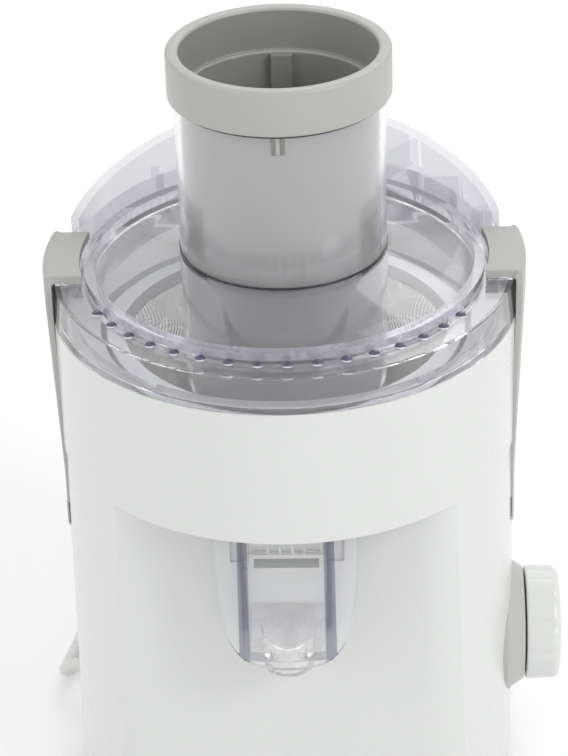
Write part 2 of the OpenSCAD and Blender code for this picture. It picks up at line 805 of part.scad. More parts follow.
module spout() {
    color([0.80, 0.80, 0.92, 0.5]) difference() {
        union() {
            intersection() {
                ring(shield_r - shield_t, shield_r, shield_low_z - 1, shield_drop + 20);
                rotate([90, 0, 0]) linear_extrude(120) shield_outline();
            }
            intersection() {
                union() {
                    for (side = [-1, 1]) translate([side * (channel_half + channel_t / 2) - channel_t / 2,
                        -shield_r, funnel_low_z - 3])
                        cube([channel_t, shield_r - channel_back_y, bowl_z - funnel_low_z + 5]);
                    channel_floor();
                }
                translate([0, 0, shield_low_z - 2]) cylinder(r = shield_r - shield_t / 2, h = 100);
            }
            translate([0, -nozzle_y, nozzle_z]) cylinder(r = nozzle_r, h = funnel_low_z - nozzle_z + 2);
        }
        translate([0, -nozzle_y, nozzle_z - 1]) cylinder(r = nozzle_bore_r, h = nozzle_len + 1);
        // Funnel over the bore, wider across than along
        for (x = [-2.4, 0, 2.4]) translate([x, -nozzle_y, nozzle_z + nozzle_len - eps])
            cylinder(r1 = nozzle_bore_r - abs(x), r2 = funnel_r,
                h = funnel_high_z - nozzle_z - nozzle_len + 2 * eps);
    }
}

// ---- Lid ----
lid_lip_r = shelf_r - slip;
hood_front_y = arm_w / 2 + 1.6;
cover_z = deck_z - 3;
key_w = 5;
key_depth = 1.5;
key_h = 8;
chute_foot_z = pusher_foot_z + 3;

module lid_plan_low(inset) {
    circle(r = deck_r - inset);
    intersection() {
        egg_plan(inset);
        behind(20);
    }
}
module hood_plan(inset) {
    difference() {
        intersection() {
            egg_plan(inset);
            behind(hood_front_y + inset);
        }
        circle(r = bead_out_r + inset);
    }
}

// Stair-stepped ribs under the hood's roof on the right, a slanted one at their end, and a post
// on the left
module hood_ribs() {
    rib = 1.6;
    steps = [[83.6, 13, 31.4], [74.4, 31, 61.6], [58.2, 61, 103]];
    slant_at = [43, 86];
    slant_deg = 48;
    post_at = [-58.7, 73.8];
    intersection() {
        translate([0, 0, deck_z - 4]) linear_extrude(hood_rise + 3) {
            for (s = steps) {
                translate([s[0] - rib, s[1]]) square([rib, s[2] - s[1]]);
                if (s[2] < 90) translate([30, s[2] - rib]) square([s[0] - 30, rib]);
            }
            translate(slant_at) rotate(slant_deg) square([24, 2 * rib]);
            translate(post_at) square([3.4, rib]);
        }
        translate([0, 0, deck_z - 6]) linear_extrude(30) hood_plan(1);
    }
}

module lid() {
    color([0.82, 0.82, 0.94, 0.4]) difference() {
        union() {
            difference() {
                union() {
                    translate([0, 0, rim_z]) linear_extrude(skirt_h) lid_plan_low(0);
                    translate([0, 0, rim_z]) cylinder(r1 = lid_r, r2 = deck_r, h = skirt_h);
                    translate([0, 0, deck_z - eps]) linear_extrude(hood_rise + eps) hood_plan(0);
                }
                // Hollow below the deck and inside the hood
                translate([0, 0, rim_z - 1]) linear_extrude(skirt_h + 1 - clear_t) lid_plan_low(clear_t);
                translate([0, 0, deck_z - clear_t - 1]) linear_extrude(hood_rise + 1) hood_plan(clear_t);
                // Room for the inner cover
                translate([0, 0, deck_z - 10]) cylinder(r = bead_r + 1, h = 40);
            }
            // Raised ring, and a pad under each arm's hook
            ring(bead_r, bead_out_r, cover_z - 3, bead_h + 6);
            for (side = [-1, 1]) intersection() {
                ring(hook_in_r, deck_r - slip, deck_z - eps, pad_h + eps);
                translate([side > 0 ? 60 : -100, -arm_w / 2 + 2.5, deck_z - 1]) cube([40, arm_w - 5, 5]);
            }
            // Inner cover, rising to the chute
            translate([0, 0, cover_z]) difference() {
                cylinder(r1 = bead_r + 0.5, r2 = chute_r - 1, h = cover_rise);
                translate([0, 0, -clear_t]) cylinder(r1 = bead_r + 0.5, r2 = chute_r - 1, h = cover_rise);
                translate([0, 0, -1]) cylinder(r = chute_r - 1, h = cover_rise + 2);
            }
            // Chute, down to just above the grater
            ring(chute_in_r, chute_r, chute_foot_z, mouth_z - chute_foot_z);
            // Lip inside the bowl's rim
            difference() {
                ring(lid_lip_r - 2, lid_lip_r, rim_z - 3, 4);
                translate([-100, duct_y - duct_wall - 1, rim_z - 4]) cube([200, 100, 4]);
            }
            ring(lid_lip_r - 2, deck_r - 1, rim_z, 2);
            hood_ribs();
            // Key at the back that stops the pusher from turning
            translate([-key_w / 2, chute_in_r - key_depth, mouth_z - key_h])
                cube([key_w, key_depth + 1, key_h]);
        }
        // Notch at the front for the pusher's lug
        translate([-key_w / 2 - slip, -chute_r - 1, mouth_z - key_h - slip])
            cube([key_w + 2 * slip, 6, key_h + 2]);
        duct_opening();
        translate([0, 0, chute_foot_z - 1]) cylinder(r = chute_in_r - key_depth - 1, h = 200);
        for (i = [0:dimples - 1]) rotate(-90 + dimple_turn + (i - (dimples - 1) / 2) * dimple_step)
            translate([bead_out_r + dimple_r + 0.4, 0, deck_z - 1.2]) cylinder(r = dimple_r, h = 3);
    }
}
// Keeps the ring under the deck clear of the duct
module duct_opening() {
    translate([0, 0, rim_z - 5]) linear_extrude(skirt_h + 3 - clear_t) intersection() {
        egg_plan(duct_wall);
        behind(duct_y);
    }
}

// ---- Pusher ----
groove_w = key_w + 1;
groove_depth = key_depth + slip;
module pusher() {
    top_z = collar_z + collar_h;
    cup_z = top_z - cup_depth;
    color([0.72, 0.72, 0.69]) difference() {
        union() {
            difference() {
                union() {
                    translate([0, 0, collar_z]) cylinder(r = collar_r - 1, h = 1);
                    translate([0, 0, collar_z + 1]) cylinder(r = collar_r, h = collar_h - 2);
                    translate([0, 0, top_z - 1]) cylinder(r1 = collar_r, r2 = collar_r - 1, h = 1);
                    translate([0, 0, pusher_foot_z]) cylinder(r = pusher_r, h = collar_z - pusher_foot_z + 1);
                }
                translate([0, 0, cup_z]) cylinder(r = cup_r, h = cup_depth + 1);
                translate([0, 0, pusher_foot_z + pusher_t])
                    cylinder(r = pusher_in_r, h = top_z - pusher_foot_z);
            }
            // Rib behind the key's groove
            translate([-groove_w / 2 - 1.6, pusher_in_r - 3, pusher_foot_z + 1])
                cube([groove_w + 3.2, 3.8, cup_z - pusher_foot_z - 1]);
            // Lug at the front, under the collar
            intersection() {
                translate([-key_w / 2, -chute_r, collar_z - key_h]) cube([key_w, 4, key_h + 1]);
                cylinder(r = chute_r - slip, h = 500);
            }
        }
        translate([-groove_w / 2, pusher_r - groove_depth, pusher_foot_z - 1])
            cube([groove_w, groove_depth + 1, collar_z - pusher_foot_z + 1]);
        // Pressing pattern under the foot
        for (i = [0:7]) rotate(i * 45) translate([8, -1.5, pusher_foot_z - 1]) cube([pusher_in_r - 12, 3, 2]);
    }
}

// ---- Filter basket ----
skirt_r = hub_tube_r + 2;
module basket_frame() {
    band_z = band_top_z - band_h;
    color([0.85, 0.87, 0.88]) {
        // Band round the mesh
        ring(band_r - band_w, band_r, band_z, band_h);
        ring(band_r - 2, band_r, band_z - 3, 3.1);
        // Floor ring, hub and skirt over the bowl's tube
        difference() {
            union() {
                ring(shaft_r + 2, grater_r + 2, grater_z - basket_floor_t, basket_floor_t);
                ring(skirt_r, skirt_r + 2, floor_z + 6, grater_z - floor_z - 6 - basket_floor_t + 1);
            }
            for (i = [0:dogs - 1]) rotate(i * 360 / dogs)
                translate([8.7, -2.3, grater_z - basket_floor_t - 1]) cube([8.6, 4.6, 2.3]);
        }
        // Ribs from the floor to the band
        for (i = [0:7]) rotate(i * 45 + 22.5) basket_rib(band_z);
    }
}
module basket_rib(band_z) {
    translate([0, 0.9, 0]) rotate([90, 0, 0]) linear_extrude(1.8)
        polygon([[grater_r, grater_z - 3], [grater_r + 3, grater_z - 3], [band_r - 2.1, band_z - 1],
            [band_r - 2.1, band_z + 1], [mesh_top_r + 0.8, band_z + 1], [mesh_top_r + 0.8, band_z],
            [grater_r + 1.6, mesh_foot_z - 0.6],
            [grater_r, mesh_foot_z - 0.6]]);
}

module basket_mesh() {
    h = band_top_z - band_h - mesh_foot_z;
    top_r = mesh_top_r - 0.4;
    slot_h = 5;
    color([0.66, 0.65, 0.62]) difference() {
        translate([0, 0, mesh_foot_z]) cylinder(r1 = grater_r, r2 = top_r, h = h - 0.2);
        translate([0, 0, mesh_foot_z]) cylinder(r1 = grater_r - 2 * mesh_t, r2 = top_r - 2 * mesh_t, h = h);
        // Rows of slots that let the juice through, clear of the ribs
        for (row = [0:2], i = [0:mesh_slots - 1]) rotate((i + 0.5) * 360 / mesh_slots)
            translate([grater_r + (top_r - grater_r) * (row + 0.5) / 3.1 - 1, -0.5,
                mesh_foot_z + 2 + row * (slot_h + 2.5)])
                cube([9, 1, slot_h]);
    }
}

module grater_disc() {
    color([0.75, 0.75, 0.76]) {
        difference() {
            translate([0, 0, grater_z]) cylinder(r = grater_r - 0.4, h = 0.8);
            translate([0, 0, grater_z - 1]) cylinder(r = 3, h = 3);
        }
        for (row = [0:tooth_rows - 1]) teeth_row(10 + row * (grater_r - 15) / tooth_rows, row);
    }
}
module teeth_row(r, row) {
    count = floor(r * 0.55);
    for (i = [0:count - 1]) rotate(i * 360 / count + row * 17) translate([r, 0, grater_z + 0.8 - eps])
        rotate([90, 0, 0]) linear_extrude(1.6, center = true)
            polygon([[-0.9, 0], [0.9, 0], [0.3, tooth_h]]);
}

// ---- Pulp container ----
container_z = plate_top + 0.3;
container_top = bowl_z - 2;
module pulp_container() {
    color("white") difference() {
        union() {
            translate([0, 0, container_z]) linear_extrude(container_top - container_z) intersection() {
                egg_plan(1.6);
                behind(back_y + container_gap);
            }
            translate([0, 0, container_top - 4]) linear_extrude(4) intersection() {
                egg_plan(-1);
                behind(back_y + container_gap);
            }
        }
        translate([0, 0, container_z + container_t]) linear_extrude(300) intersection() {
            egg_plan(1.6 + container_t);
            behind(back_y + container_gap + container_t);
        }
    }
}

// ---- Mains cord ----
cord_d = 6.6;
cord_route = [[-100.4, 44.8, 16], [-105, 47, 14.4], [-109, 51, 9.5], [-110, 58, 5], [-108, 70, 3.4],
    [-104, 92, 3.4], [-96, 136, 3.4], [-86, 168, 3.4], [-70, 198, 3.4], [-46, 220, 3.4],
    [-20, 228, 3.4], [0, 228.6, 3.4]];
coil_at = [0, 268];
coil_r = 36;
coil_w = 13.4;
plug_z = 9.6;

module strain_relief() {
    sleeve = 14;
    taper = 12;
    color("whitesmoke") rotate(cord_deg) translate([relief_in, 0, cord_z]) rotate([0, 90, 0]) difference() {
        union() {
            translate([0, 0, -2]) cylinder(r = relief_r + 1.9, h = 2);
            translate([0, 0, -eps]) cylinder(r = relief_r - running, h = sleeve);
            translate([0, 0, sleeve - 2 * eps])
                cylinder(r1 = relief_r - 0.5, r2 = cord_d / 2 + 1, h = taper);
        }
        translate([0, 0, -3]) cylinder(r = cord_d / 2, h = sleeve + taper + 5);
    }
}

function unit(v) = v / norm(v);
function tangent(p, i) = unit(p[min(i + 1, len(p) - 1)] - p[max(i - 1, 0)]);
function ring_at(p, i, r, n) = let (t = tangent(p, i), u = unit(cross(t, [0, 0, 1])), w = cross(u, t))
    [for (k = [0:n - 1]) p[i] + r * (cos(360 * k / n) * u + sin(360 * k / n) * w)];
function curve(a, b, c, d, t) = 0.5 * ((2 * b) + (c - a) * t + (2 * a - 5 * b + 4 * c - d) * t * t
    + (3 * b - a - 3 * c + d) * t * t * t);
function smooth(p, n) = [for (i = [0:len(p) - 2], k = [0:n - 1])
    curve(p[max(i - 1, 0)], p[i], p[i + 1], p[min(i + 2, len(p) - 1)], k / n), p[len(p) - 1]];

module tube(route, d, sides = 8) {
    p = smooth(route, 3);
    rings = [for (i = [0:len(p) - 1]) each ring_at(p, i, d / 2, sides)];
    last = (len(p) - 1) * sides;
    polyhedron(points = rings, faces = concat(
        [[for (k = [0:sides - 1]) k]],
        [for (i = [0:len(p) - 2], k = [0:sides - 1]) let (m = (k + 1) % sides)
            [i * sides + k, (i + 1) * sides + k, (i + 1) * sides + m, i * sides + m]],
        [[for (k = [sides - 1:-1:0]) last + k]]), convexity = 6);
}
module cord() { color("whitesmoke") tube(cord_route, cord_d); }
module cord_coil() {
    color("whitesmoke") translate([coil_at[0], coil_at[1], 0]) rotate_extrude()
        translate([coil_r - coil_w / 2, 0]) square(coil_w);
}
module plug() {
    tail_r = 4.5;
    body_len = 30;
    tail_len = 14;
    coil_out_r = coil_r + coil_w / 2;
    lane = coil_out_r - cord_d / 2;
    tail_x = sqrt(pow(coil_out_r, 2) - pow(lane - tail_r, 2)) + 0.1;
    translate([coil_at[0] + tail_x, coil_at[1] - lane, plug_z]) rotate([0, 90, 0]) {
        color("whitesmoke") {
            cylinder(r1 = tail_r, r2 = 7, h = tail_len);
            translate([0, 0, tail_len - eps]) cylinder(r = 9, h = body_len);
        }
        color("silver") for (s = [-1, 1])
            translate([0, s * 9.5, tail_len + body_len - 2 * eps]) cylinder(r = 2, h = 18);
    }
}

base_housing();
base_plate();
feet();
base_screws();
knob_bezel();
speed_knob();
knob_shaft();
rotary_switch();
pivot_pin_left();
pivot_pin_right();
left_arm();
right_arm();
motor_bracket_upper();
motor_bracket_lower();
motor_mounts();
tie_bolts();
stator_core();
field_coils();
brush_gear();
bearing_upper();
bearing_lower();
motor_shaft();
armature();
commutator();
cooling_fan();
drive_coupling();
shaft_seal();
juice_bowl();
spout();
lid();
pusher();
basket_frame();
basket_mesh();
grater_disc();
pulp_container();
strain_relief();
cord();
cord_coil();
plug();
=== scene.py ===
"""Centrifugal juicer: the finishes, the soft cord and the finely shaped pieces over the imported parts.

Everything is in metres, with the origin on the table under the spin axis, +Z up,
the spout towards -Y and the speed knob towards +X.
"""

import math

import bmesh
import bpy
import numpy as np
from bpy.props import FloatProperty, FloatVectorProperty, IntProperty, PointerProperty
from mathutils import Matrix, Vector


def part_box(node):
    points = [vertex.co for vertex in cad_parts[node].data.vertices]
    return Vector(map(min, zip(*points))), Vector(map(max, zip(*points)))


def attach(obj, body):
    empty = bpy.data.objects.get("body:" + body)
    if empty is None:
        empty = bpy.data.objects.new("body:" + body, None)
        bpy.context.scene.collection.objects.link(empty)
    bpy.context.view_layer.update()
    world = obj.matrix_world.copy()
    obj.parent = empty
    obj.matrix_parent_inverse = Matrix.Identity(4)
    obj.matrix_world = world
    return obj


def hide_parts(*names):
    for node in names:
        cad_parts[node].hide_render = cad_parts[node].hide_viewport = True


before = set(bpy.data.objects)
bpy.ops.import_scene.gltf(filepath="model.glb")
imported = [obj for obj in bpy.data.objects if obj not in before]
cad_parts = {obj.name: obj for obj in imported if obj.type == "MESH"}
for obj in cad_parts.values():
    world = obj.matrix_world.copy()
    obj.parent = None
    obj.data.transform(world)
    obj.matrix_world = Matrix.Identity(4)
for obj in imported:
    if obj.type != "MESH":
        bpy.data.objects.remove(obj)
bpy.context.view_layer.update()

bl_info = {
    "name": "Centrifugal juicer",
    "version": (1, 0, 0),
    "blender": (4, 5, 0),
    "location": "View3D > Sidebar > Juicer",
    "description": "Dresses a packed centrifugal juicer with shaped pieces and finishes",
    "category": "Object",
}

MM = 0.001
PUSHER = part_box("pusher")
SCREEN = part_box("basket_mesh")
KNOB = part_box("speed_knob")
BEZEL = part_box("knob_bezel")
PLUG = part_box("plug")
KNOB_Z = (KNOB[0].z + KNOB[1].z) / 2
# Levels of the bowl's rim, of the lid's flat deck and of the mouth of its chute
RIM_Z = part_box("juice_bowl")[1].z
DECK_ABOVE_RIM = 16.1 * MM
DECK_Z = RIM_Z + DECK_ABOVE_RIM
MOUTH_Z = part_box("lid")[1].z


# ---- Shapes ----


def rounded_loop(corners, steps=5):
    """Corners (a, b, radius) joined by straight lines, each corner replaced by an arc.

    The arc's centre lies on the corner's bisector at radius / sin(half the corner's angle), and
    its points turn evenly from one tangent point to the other."""
    corners = np.asarray(corners, float)
    at, radius = corners[:, :2], corners[:, 2]
    to_last = np.roll(at, 1, 0) - at
    to_next = np.roll(at, -1, 0) - at
    to_last /= np.linalg.norm(to_last, axis=1)[:, None]
    to_next /= np.linalg.norm(to_next, axis=1)[:, None]
    corner = np.arccos(np.clip((to_last * to_next).sum(1), -1, 1))
    bisector = to_last + to_next
    bisector /= np.linalg.norm(bisector, axis=1)[:, None] + 1e-12
    centre = at + bisector * (radius / np.sin(corner / 2))[:, None]
    length = (radius / np.tan(corner / 2))[:, None]
    first = at + to_last * length - centre
    last = at + to_next * length - centre
    turn = (math.pi - corner)[:, None, None]
    s = np.linspace(0, 1, steps + 1)[None, :, None]
    arc = np.sin((1 - s) * turn) * first[:, None] + np.sin(s * turn) * last[:, None]
    return (centre[:, None] + arc / np.sin(turn)).reshape(-1, 2)


def grid_faces(rows, columns, close_rows, close_columns):
    """Quads between neighbouring points of a grid, joined up end to end where a direction is closed."""
    i = np.arange(rows if close_rows else rows - 1)[:, None]
    j = np.arange(columns if close_columns else columns - 1)[None, :]
    k, m = (i + 1) % rows, (j + 1) % columns
    return np.stack(
        [i * columns + j, k * columns + j, k * columns + m, i * columns + m], -1
    ).reshape(-1, 4)


def around(radius, height, angles):
    """Points of a profile turned about Z: x = r cos(angle), y = r sin(angle), z = height."""
    radius = np.broadcast_to(radius, (len(angles), np.shape(radius)[-1]))
    height = np.broadcast_to(height, radius.shape)
    a = angles[:, None]
    return np.stack([radius * np.cos(a), radius * np.sin(a), height], -1)


def circle(count):
    """Evenly spaced angles once round."""
    return np.arange(count) * 2 * math.pi / count


def along_x(points, x, y, z):
    """The same points with their own +Z turned to +X, moved to (x, y, z)."""
    return np.stack([points[..., 2] + x, points[..., 1] + y, -points[..., 0] + z], -1)


def carried(path, section, ups):
    """A closed flat section carried along a path: each point is path + a * side + b * up.

    The side direction is the path's direction crossed with the up direction."""
    step = np.gradient(path, axis=0)
    step /= np.linalg.norm(step, axis=1)[:, None]
    side = np.cross(step, ups)
    side /= np.linalg.norm(side, axis=1)[:, None]
    up = np.cross(side, step)
    a, b = section[None, :, :1], section[None, :, 1:]
    return path[:, None] + a * side[:, None] + b * up[:, None]


def smooth_path(points, per_span):
    """A curve through the points, each span a cubic whose ends follow the chords beside it."""
    p = np.asarray(points, float)
    p = np.vstack([2 * p[0] - p[1], p, 2 * p[-1] - p[-2]])
    t = (np.arange(per_span) / per_span)[None, :, None]
    a, b, c, d = p[:-3, None], p[1:-2, None], p[2:-1, None], p[3:, None]
    square, cube = 2 * a - 5 * b + 4 * c - d, 3 * b - a - 3 * c + d
    spans = 0.5 * (2 * b + (c - a) * t + square * t**2 + cube * t**3)
    return np.vstack([spans.reshape(-1, 3), p[-2]])


# Points closer than this are one
SAME_POINT = 0.002 * MM


def piece(name, shells, material, body, sharp, replaces=()):
    """One object made of closed shells, each given as (points, faces).

    Doubled points are merged, faces point outwards, and edges sharper than the angle stay sharp."""
    mesh = bpy.data.meshes.new(name)
    points, faces, count = [], [], 0
    for p, f in shells:
        p = np.asarray(p, float).reshape(-1, 3)
        points.append(p)
        faces += (np.asarray(f) + count).tolist()
        count += len(p)
    mesh.from_pydata(np.vstack(points).tolist(), [], faces)
    made = bmesh.new()
    made.from_mesh(mesh)
    bmesh.ops.remove_doubles(made, verts=made.verts, dist=SAME_POINT)
    bmesh.ops.recalc_face_normals(made, faces=made.faces)
    made.to_mesh(mesh)
    made.free()
    mesh.shade_smooth()
    mesh.set_sharp_from_angle(angle=math.radians(sharp))
    mesh.materials.append(material)
    made_object = bpy.data.objects.new(name, mesh)
    bpy.context.scene.collection.objects.link(made_object)
    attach(made_object, body)
    if replaces:
        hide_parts(*replaces)
    return made_object


def shell(points, close_rows=True, close_columns=True):
    """A grid of points as (points, faces)."""
    rows, columns = points.shape[:2]
    return points.reshape(-1, 3), grid_faces(rows, columns, close_rows, close_columns)


def packed_mesh(node):
    """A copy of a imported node's mesh as (points, faces)."""
    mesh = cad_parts[node].data
    points = np.empty(len(mesh.vertices) * 3)
    mesh.vertices.foreach_get("co", points)
    corners = np.empty(len(mesh.loops), np.int32)
    mesh.loops.foreach_get("vertex_index", corners)
    return points.reshape(-1, 3), corners.reshape(-1, 3)


def middles(made):
    """The x, y and z of the middle of each face of a piece."""
    middle = np.empty(len(made.data.polygons) * 3)
    made.data.polygons.foreach_get("center", middle)
    return middle.reshape(-1, 3).T


def finish_faces(made, chosen, *materials):
    """Gives the faces numbered 1, 2 and so on in chosen the first, second and further of the materials."""
    for material in materials:
        made.data.materials.append(material)
    made.data.polygons.foreach_set("material_index", np.asarray(chosen).astype(np.int32))


def closed_tube(rings):
    """Rings of points joined side by side, with each end closed by a point at the end ring's middle."""
    first = np.broadcast_to(rings[0].mean(0), rings[0].shape)
    last = np.broadcast_to(rings[-1].mean(0), rings[-1].shape)
    return shell(np.concatenate([first[None], rings, last[None]]), close_rows=False)


# ---- Finishes ----


def new_material(name):
    """A new material with its nodes, its links and its shader."""
    material = bpy.data.materials.new(name)
    material.use_nodes = True
    tree = material.node_tree
    return material, tree.nodes, tree.links, tree.nodes["Principled BSDF"]


def grain(nodes, links, scale, detail=2.0, stretch=(1, 1, 1)):
    """Noise on object coordinates, as wide as 1 / scale metres."""
    where = nodes.new("ShaderNodeTexCoord")
    place = nodes.new("ShaderNodeMapping")
    place.inputs["Scale"].default_value = stretch
    noise = nodes.new("ShaderNodeTexNoise")
    noise.inputs["Scale"].default_value = scale
    noise.inputs["Detail"].default_value = detail
    links.new(where.outputs["Object"], place.inputs["Vector"])
    links.new(place.outputs["Vector"], noise.inputs["Vector"])
    return noise


def roughened(nodes, links, shader, source, low, high):
    """Roughness from low to high where the source goes from 0.3 to 0.7."""
    ranged = nodes.new("ShaderNodeMapRange")
    ranged.inputs["From Min"].default_value = 0.3
    ranged.inputs["From Max"].default_value = 0.7
    ranged.inputs["To Min"].default_value = low
    ranged.inputs["To Max"].default_value = high
    links.new(source, ranged.inputs["Value"])
    links.new(ranged.outputs["Result"], shader.inputs["Roughness"])


def two_tone(nodes, links, source, colour, other):
    """The one colour where the source is 0 and the other where it is 1."""
    mix = nodes.new("ShaderNodeMix")
    mix.data_type = "RGBA"
    mix.inputs["A"].default_value = (*colour, 1)
    mix.inputs["B"].default_value = (*other, 1)
    links.new(source, mix.inputs["Factor"])
    return mix.outputs["Result"]


def bumped(nodes, links, shader, source, strength, depth):
    """A height of depth metres on the surface where the source goes from 0 to 1."""
    bump = nodes.new("ShaderNodeBump")
    bump.inputs["Strength"].default_value = strength
    bump.inputs["Distance"].default_value = depth
    links.new(source, bump.inputs["Height"])
    links.new(bump.outputs["Normal"], shader.inputs["Normal"])


def moulded(name, colour, roughness, grain_scale=900.0, bump=0.08, shade=0.96, coat=0.0):
    """Moulded plastic: a slightly uneven colour, fine skin and slightly uneven gloss."""
    material, nodes, links, shader = new_material(name)
    wide = grain(nodes, links, 9.0, 3.0)
    fine = grain(nodes, links, grain_scale, 2.0)
    darker = tuple(c * shade for c in colour)
    links.new(two_tone(nodes, links, wide.outputs["Fac"], colour, darker), shader.inputs["Base Color"])
    roughened(nodes, links, shader, fine.outputs["Fac"], roughness * 0.85, roughness * 1.15)
    shader.inputs["Coat Weight"].default_value = coat
    shader.inputs["Coat Roughness"].default_value = 0.08
    bumped(nodes, links, shader, fine.outputs["Fac"], bump, 0.0002)
    return material


def metal(name, colour, roughness, scale, bump, stretch=(1, 1, 1), shade=0.8):
    """Worked metal: streaks or grain along one direction in colour, gloss and height."""
    material, nodes, links, shader = new_material(name)
    streak = grain(nodes, links, scale, 4.0, stretch)
    darker = tuple(c * shade for c in colour)
    links.new(two_tone(nodes, links, streak.outputs["Fac"], colour, darker), shader.inputs["Base Color"])
    roughened(nodes, links, shader, streak.outputs["Fac"], roughness * 0.7, roughness * 1.3)
    shader.inputs["Metallic"].default_value = 1.0
    bumped(nodes, links, shader, streak.outputs["Fac"], bump, 0.0001)
    return material


def clear(name, colour, milk, roughness=0.02, ior=1.2):
    """Clear plastic: light goes through and takes its colour, apart from the share that the milk scatters.

    The gloss comes from the coat, so that the bend of the light inside stays gentle."""
    material, nodes, links, shader = new_material(name)
    fine = grain(nodes, links, 240.0, 2.0)
    wide = grain(nodes, links, 30.0, 2.0)
    shader.inputs["Base Color"].default_value = (*colour, 1)
    shader.inputs["Transmission Weight"].default_value = 1.0 - milk
    shader.inputs["IOR"].default_value = ior
    shader.inputs["Coat Weight"].default_value = 1.0
    shader.inputs["Coat Roughness"].default_value = 0.03
    shader.inputs["Coat IOR"].default_value = 1.5
    roughened(nodes, links, shader, fine.outputs["Fac"], roughness * 0.6, roughness * 1.6)
    bumped(nodes, links, shader, wide.outputs["Fac"], 0.06, 0.0006)
    return material


def glazed(name, colour, cover):
    """Thin clear plastic: a face covers a share of what is behind it, up to 4 times more at a slant."""
    material, nodes, links, shader = new_material(name)
    wide = grain(nodes, links, 30.0, 2.0)
    slant = nodes.new("ShaderNodeLayerWeight")
    slant.inputs["Blend"].default_value = 0.5
    share = nodes.new("ShaderNodeMapRange")
    share.inputs["From Min"].default_value = 0.6
    share.inputs["To Min"].default_value = cover
    share.inputs["To Max"].default_value = min(1.0, cover * 4)
    links.new(slant.outputs["Facing"], share.inputs["Value"])
    links.new(share.outputs["Result"], shader.inputs["Alpha"])
    shader.inputs["Base Color"].default_value = (*colour, 1)
    shader.inputs["Roughness"].default_value = 0.04
    bumped(nodes, links, shader, wide.outputs["Fac"], 0.06, 0.0006)
    return material


def screen_steel(name):
    """Etched filter steel: rows of fine round holes, one to each unit of the piece's own map."""
    material, nodes, links, shader = new_material(name)
    place = nodes.new("ShaderNodeUVMap")
    place.uv_map = "screen"
    holes = nodes.new("ShaderNodeTexVoronoi")
    holes.inputs["Scale"].default_value = 1.0
    holes.inputs["Randomness"].default_value = 0.0
    cut = nodes.new("ShaderNodeMapRange")
    cut.inputs["From Min"].default_value = 0.20
    cut.inputs["From Max"].default_value = 0.34
    noise = grain(nodes, links, 160.0, 3.0)
    links.new(place.outputs["UV"], holes.inputs["Vector"])
    links.new(holes.outputs["Distance"], cut.inputs["Value"])
    plate = two_tone(nodes, links, noise.outputs["Fac"], (0.85, 0.82, 0.78), (0.55, 0.53, 0.50))
    mix = nodes.new("ShaderNodeMix")
    mix.data_type = "RGBA"
    mix.inputs["A"].default_value = (0.045, 0.042, 0.040, 1)
    links.new(cut.outputs["Result"], mix.inputs["Factor"])
    links.new(plate, mix.inputs["B"])
    links.new(mix.outputs["Result"], shader.inputs["Base Color"])
    roughened(nodes, links, shader, noise.outputs["Fac"], 0.22, 0.42)
    shader.inputs["Metallic"].default_value = 1.0
    bumped(nodes, links, shader, cut.outputs["Result"], 0.6, 0.0003)
    return material


def make_finishes(colours):
    """Every finish by the name of what it is on."""
    return {
        "housing": moulded("white_housing", colours.white, 0.24, bump=0.03, shade=0.985, coat=0.15),
        "grey": moulded("grey_pusher", colours.grey, 0.34, bump=0.06, shade=0.95),
        # The inside grey is painted shade: the pusher's grey darkened for its dim inner walls
        "inside": moulded("grey_painted_inside_shade", colours.inside, 0.40, bump=0.06, shade=0.95),
        "arm": moulded("grey_arm", colours.arm, 0.42, grain_scale=1600.0, bump=0.12, shade=0.95),
        "bezel": moulded("grey_bezel", colours.bezel, 0.38, bump=0.06, shade=0.96),
        "pale": moulded("pale_band", colours.pale, 0.20, bump=0.04, shade=0.94, coat=0.2),
        "clear": clear("clear_lid", colours.clear, milk=0.05),
        "bead": clear("clear_bead", colours.bead, milk=0.22, roughness=0.05),
        "hood": glazed("clear_hood", colours.hood, cover=0.19),
        "spout": clear("clear_spout", (0.975, 0.973, 0.985), milk=0.03, ior=1.25),
        "rail": glazed("clear_rail", colours.rail, cover=0.34),
        "rubber": moulded("black_rubber", (0.022, 0.022, 0.023), 0.72, grain_scale=2200.0, bump=0.3,
                          shade=0.8),
        "dark": moulded("dark_plastic", (0.055, 0.056, 0.058), 0.45, bump=0.12, shade=0.85),
        "cord": moulded("white_cord", (0.80, 0.80, 0.78), 0.42, grain_scale=1400.0, bump=0.1, shade=0.95),
        "steel": metal("turned_steel", (0.66, 0.66, 0.67), 0.24, scale=60.0, bump=0.1, stretch=(1, 1, 30)),
        "stainless": metal("brushed_stainless", (0.70, 0.69, 0.67), 0.28, scale=500.0, bump=0.12),
        "screen": screen_steel("filter_screen"),
        "lamination": metal("steel_laminations", (0.30, 0.30, 0.32), 0.42, scale=1900.0, bump=0.6,
                            stretch=(0.02, 0.02, 1), shade=0.55),
        "cast": metal("cast_alloy", (0.55, 0.56, 0.58), 0.46, scale=420.0, bump=0.35, shade=0.82),
        "copper": metal("copper_winding", (0.72, 0.30, 0.12), 0.30, scale=1500.0, bump=0.7,
                        stretch=(0.05, 0.05, 1), shade=0.55),
        "brass": metal("brass", (0.70, 0.50, 0.20), 0.28, scale=400.0, bump=0.1, shade=0.85),
        # A dark violet, painted shade for the dimples of the lid
        "painted_pit_shade": moulded("dark_painted_pit_shade", (0.060, 0.052, 0.115), 0.22, bump=0.02, shade=0.8, coat=1.0),
        # A near black, painted shadow for the lines round the chute
        "seam": moulded("dark_seam", (0.018, 0.016, 0.030), 0.30, bump=0.02, shade=0.8, coat=0.5),
        # A pale colour for the painted highlights in the dimples
        "glint": moulded("pale_glint", (0.86, 0.86, 0.92), 0.15, bump=0.02, shade=0.98, coat=1.0),
        "print": moulded("grey_print", (0.30, 0.30, 0.31), 0.5, shade=0.95),
    }


FINISH = {}
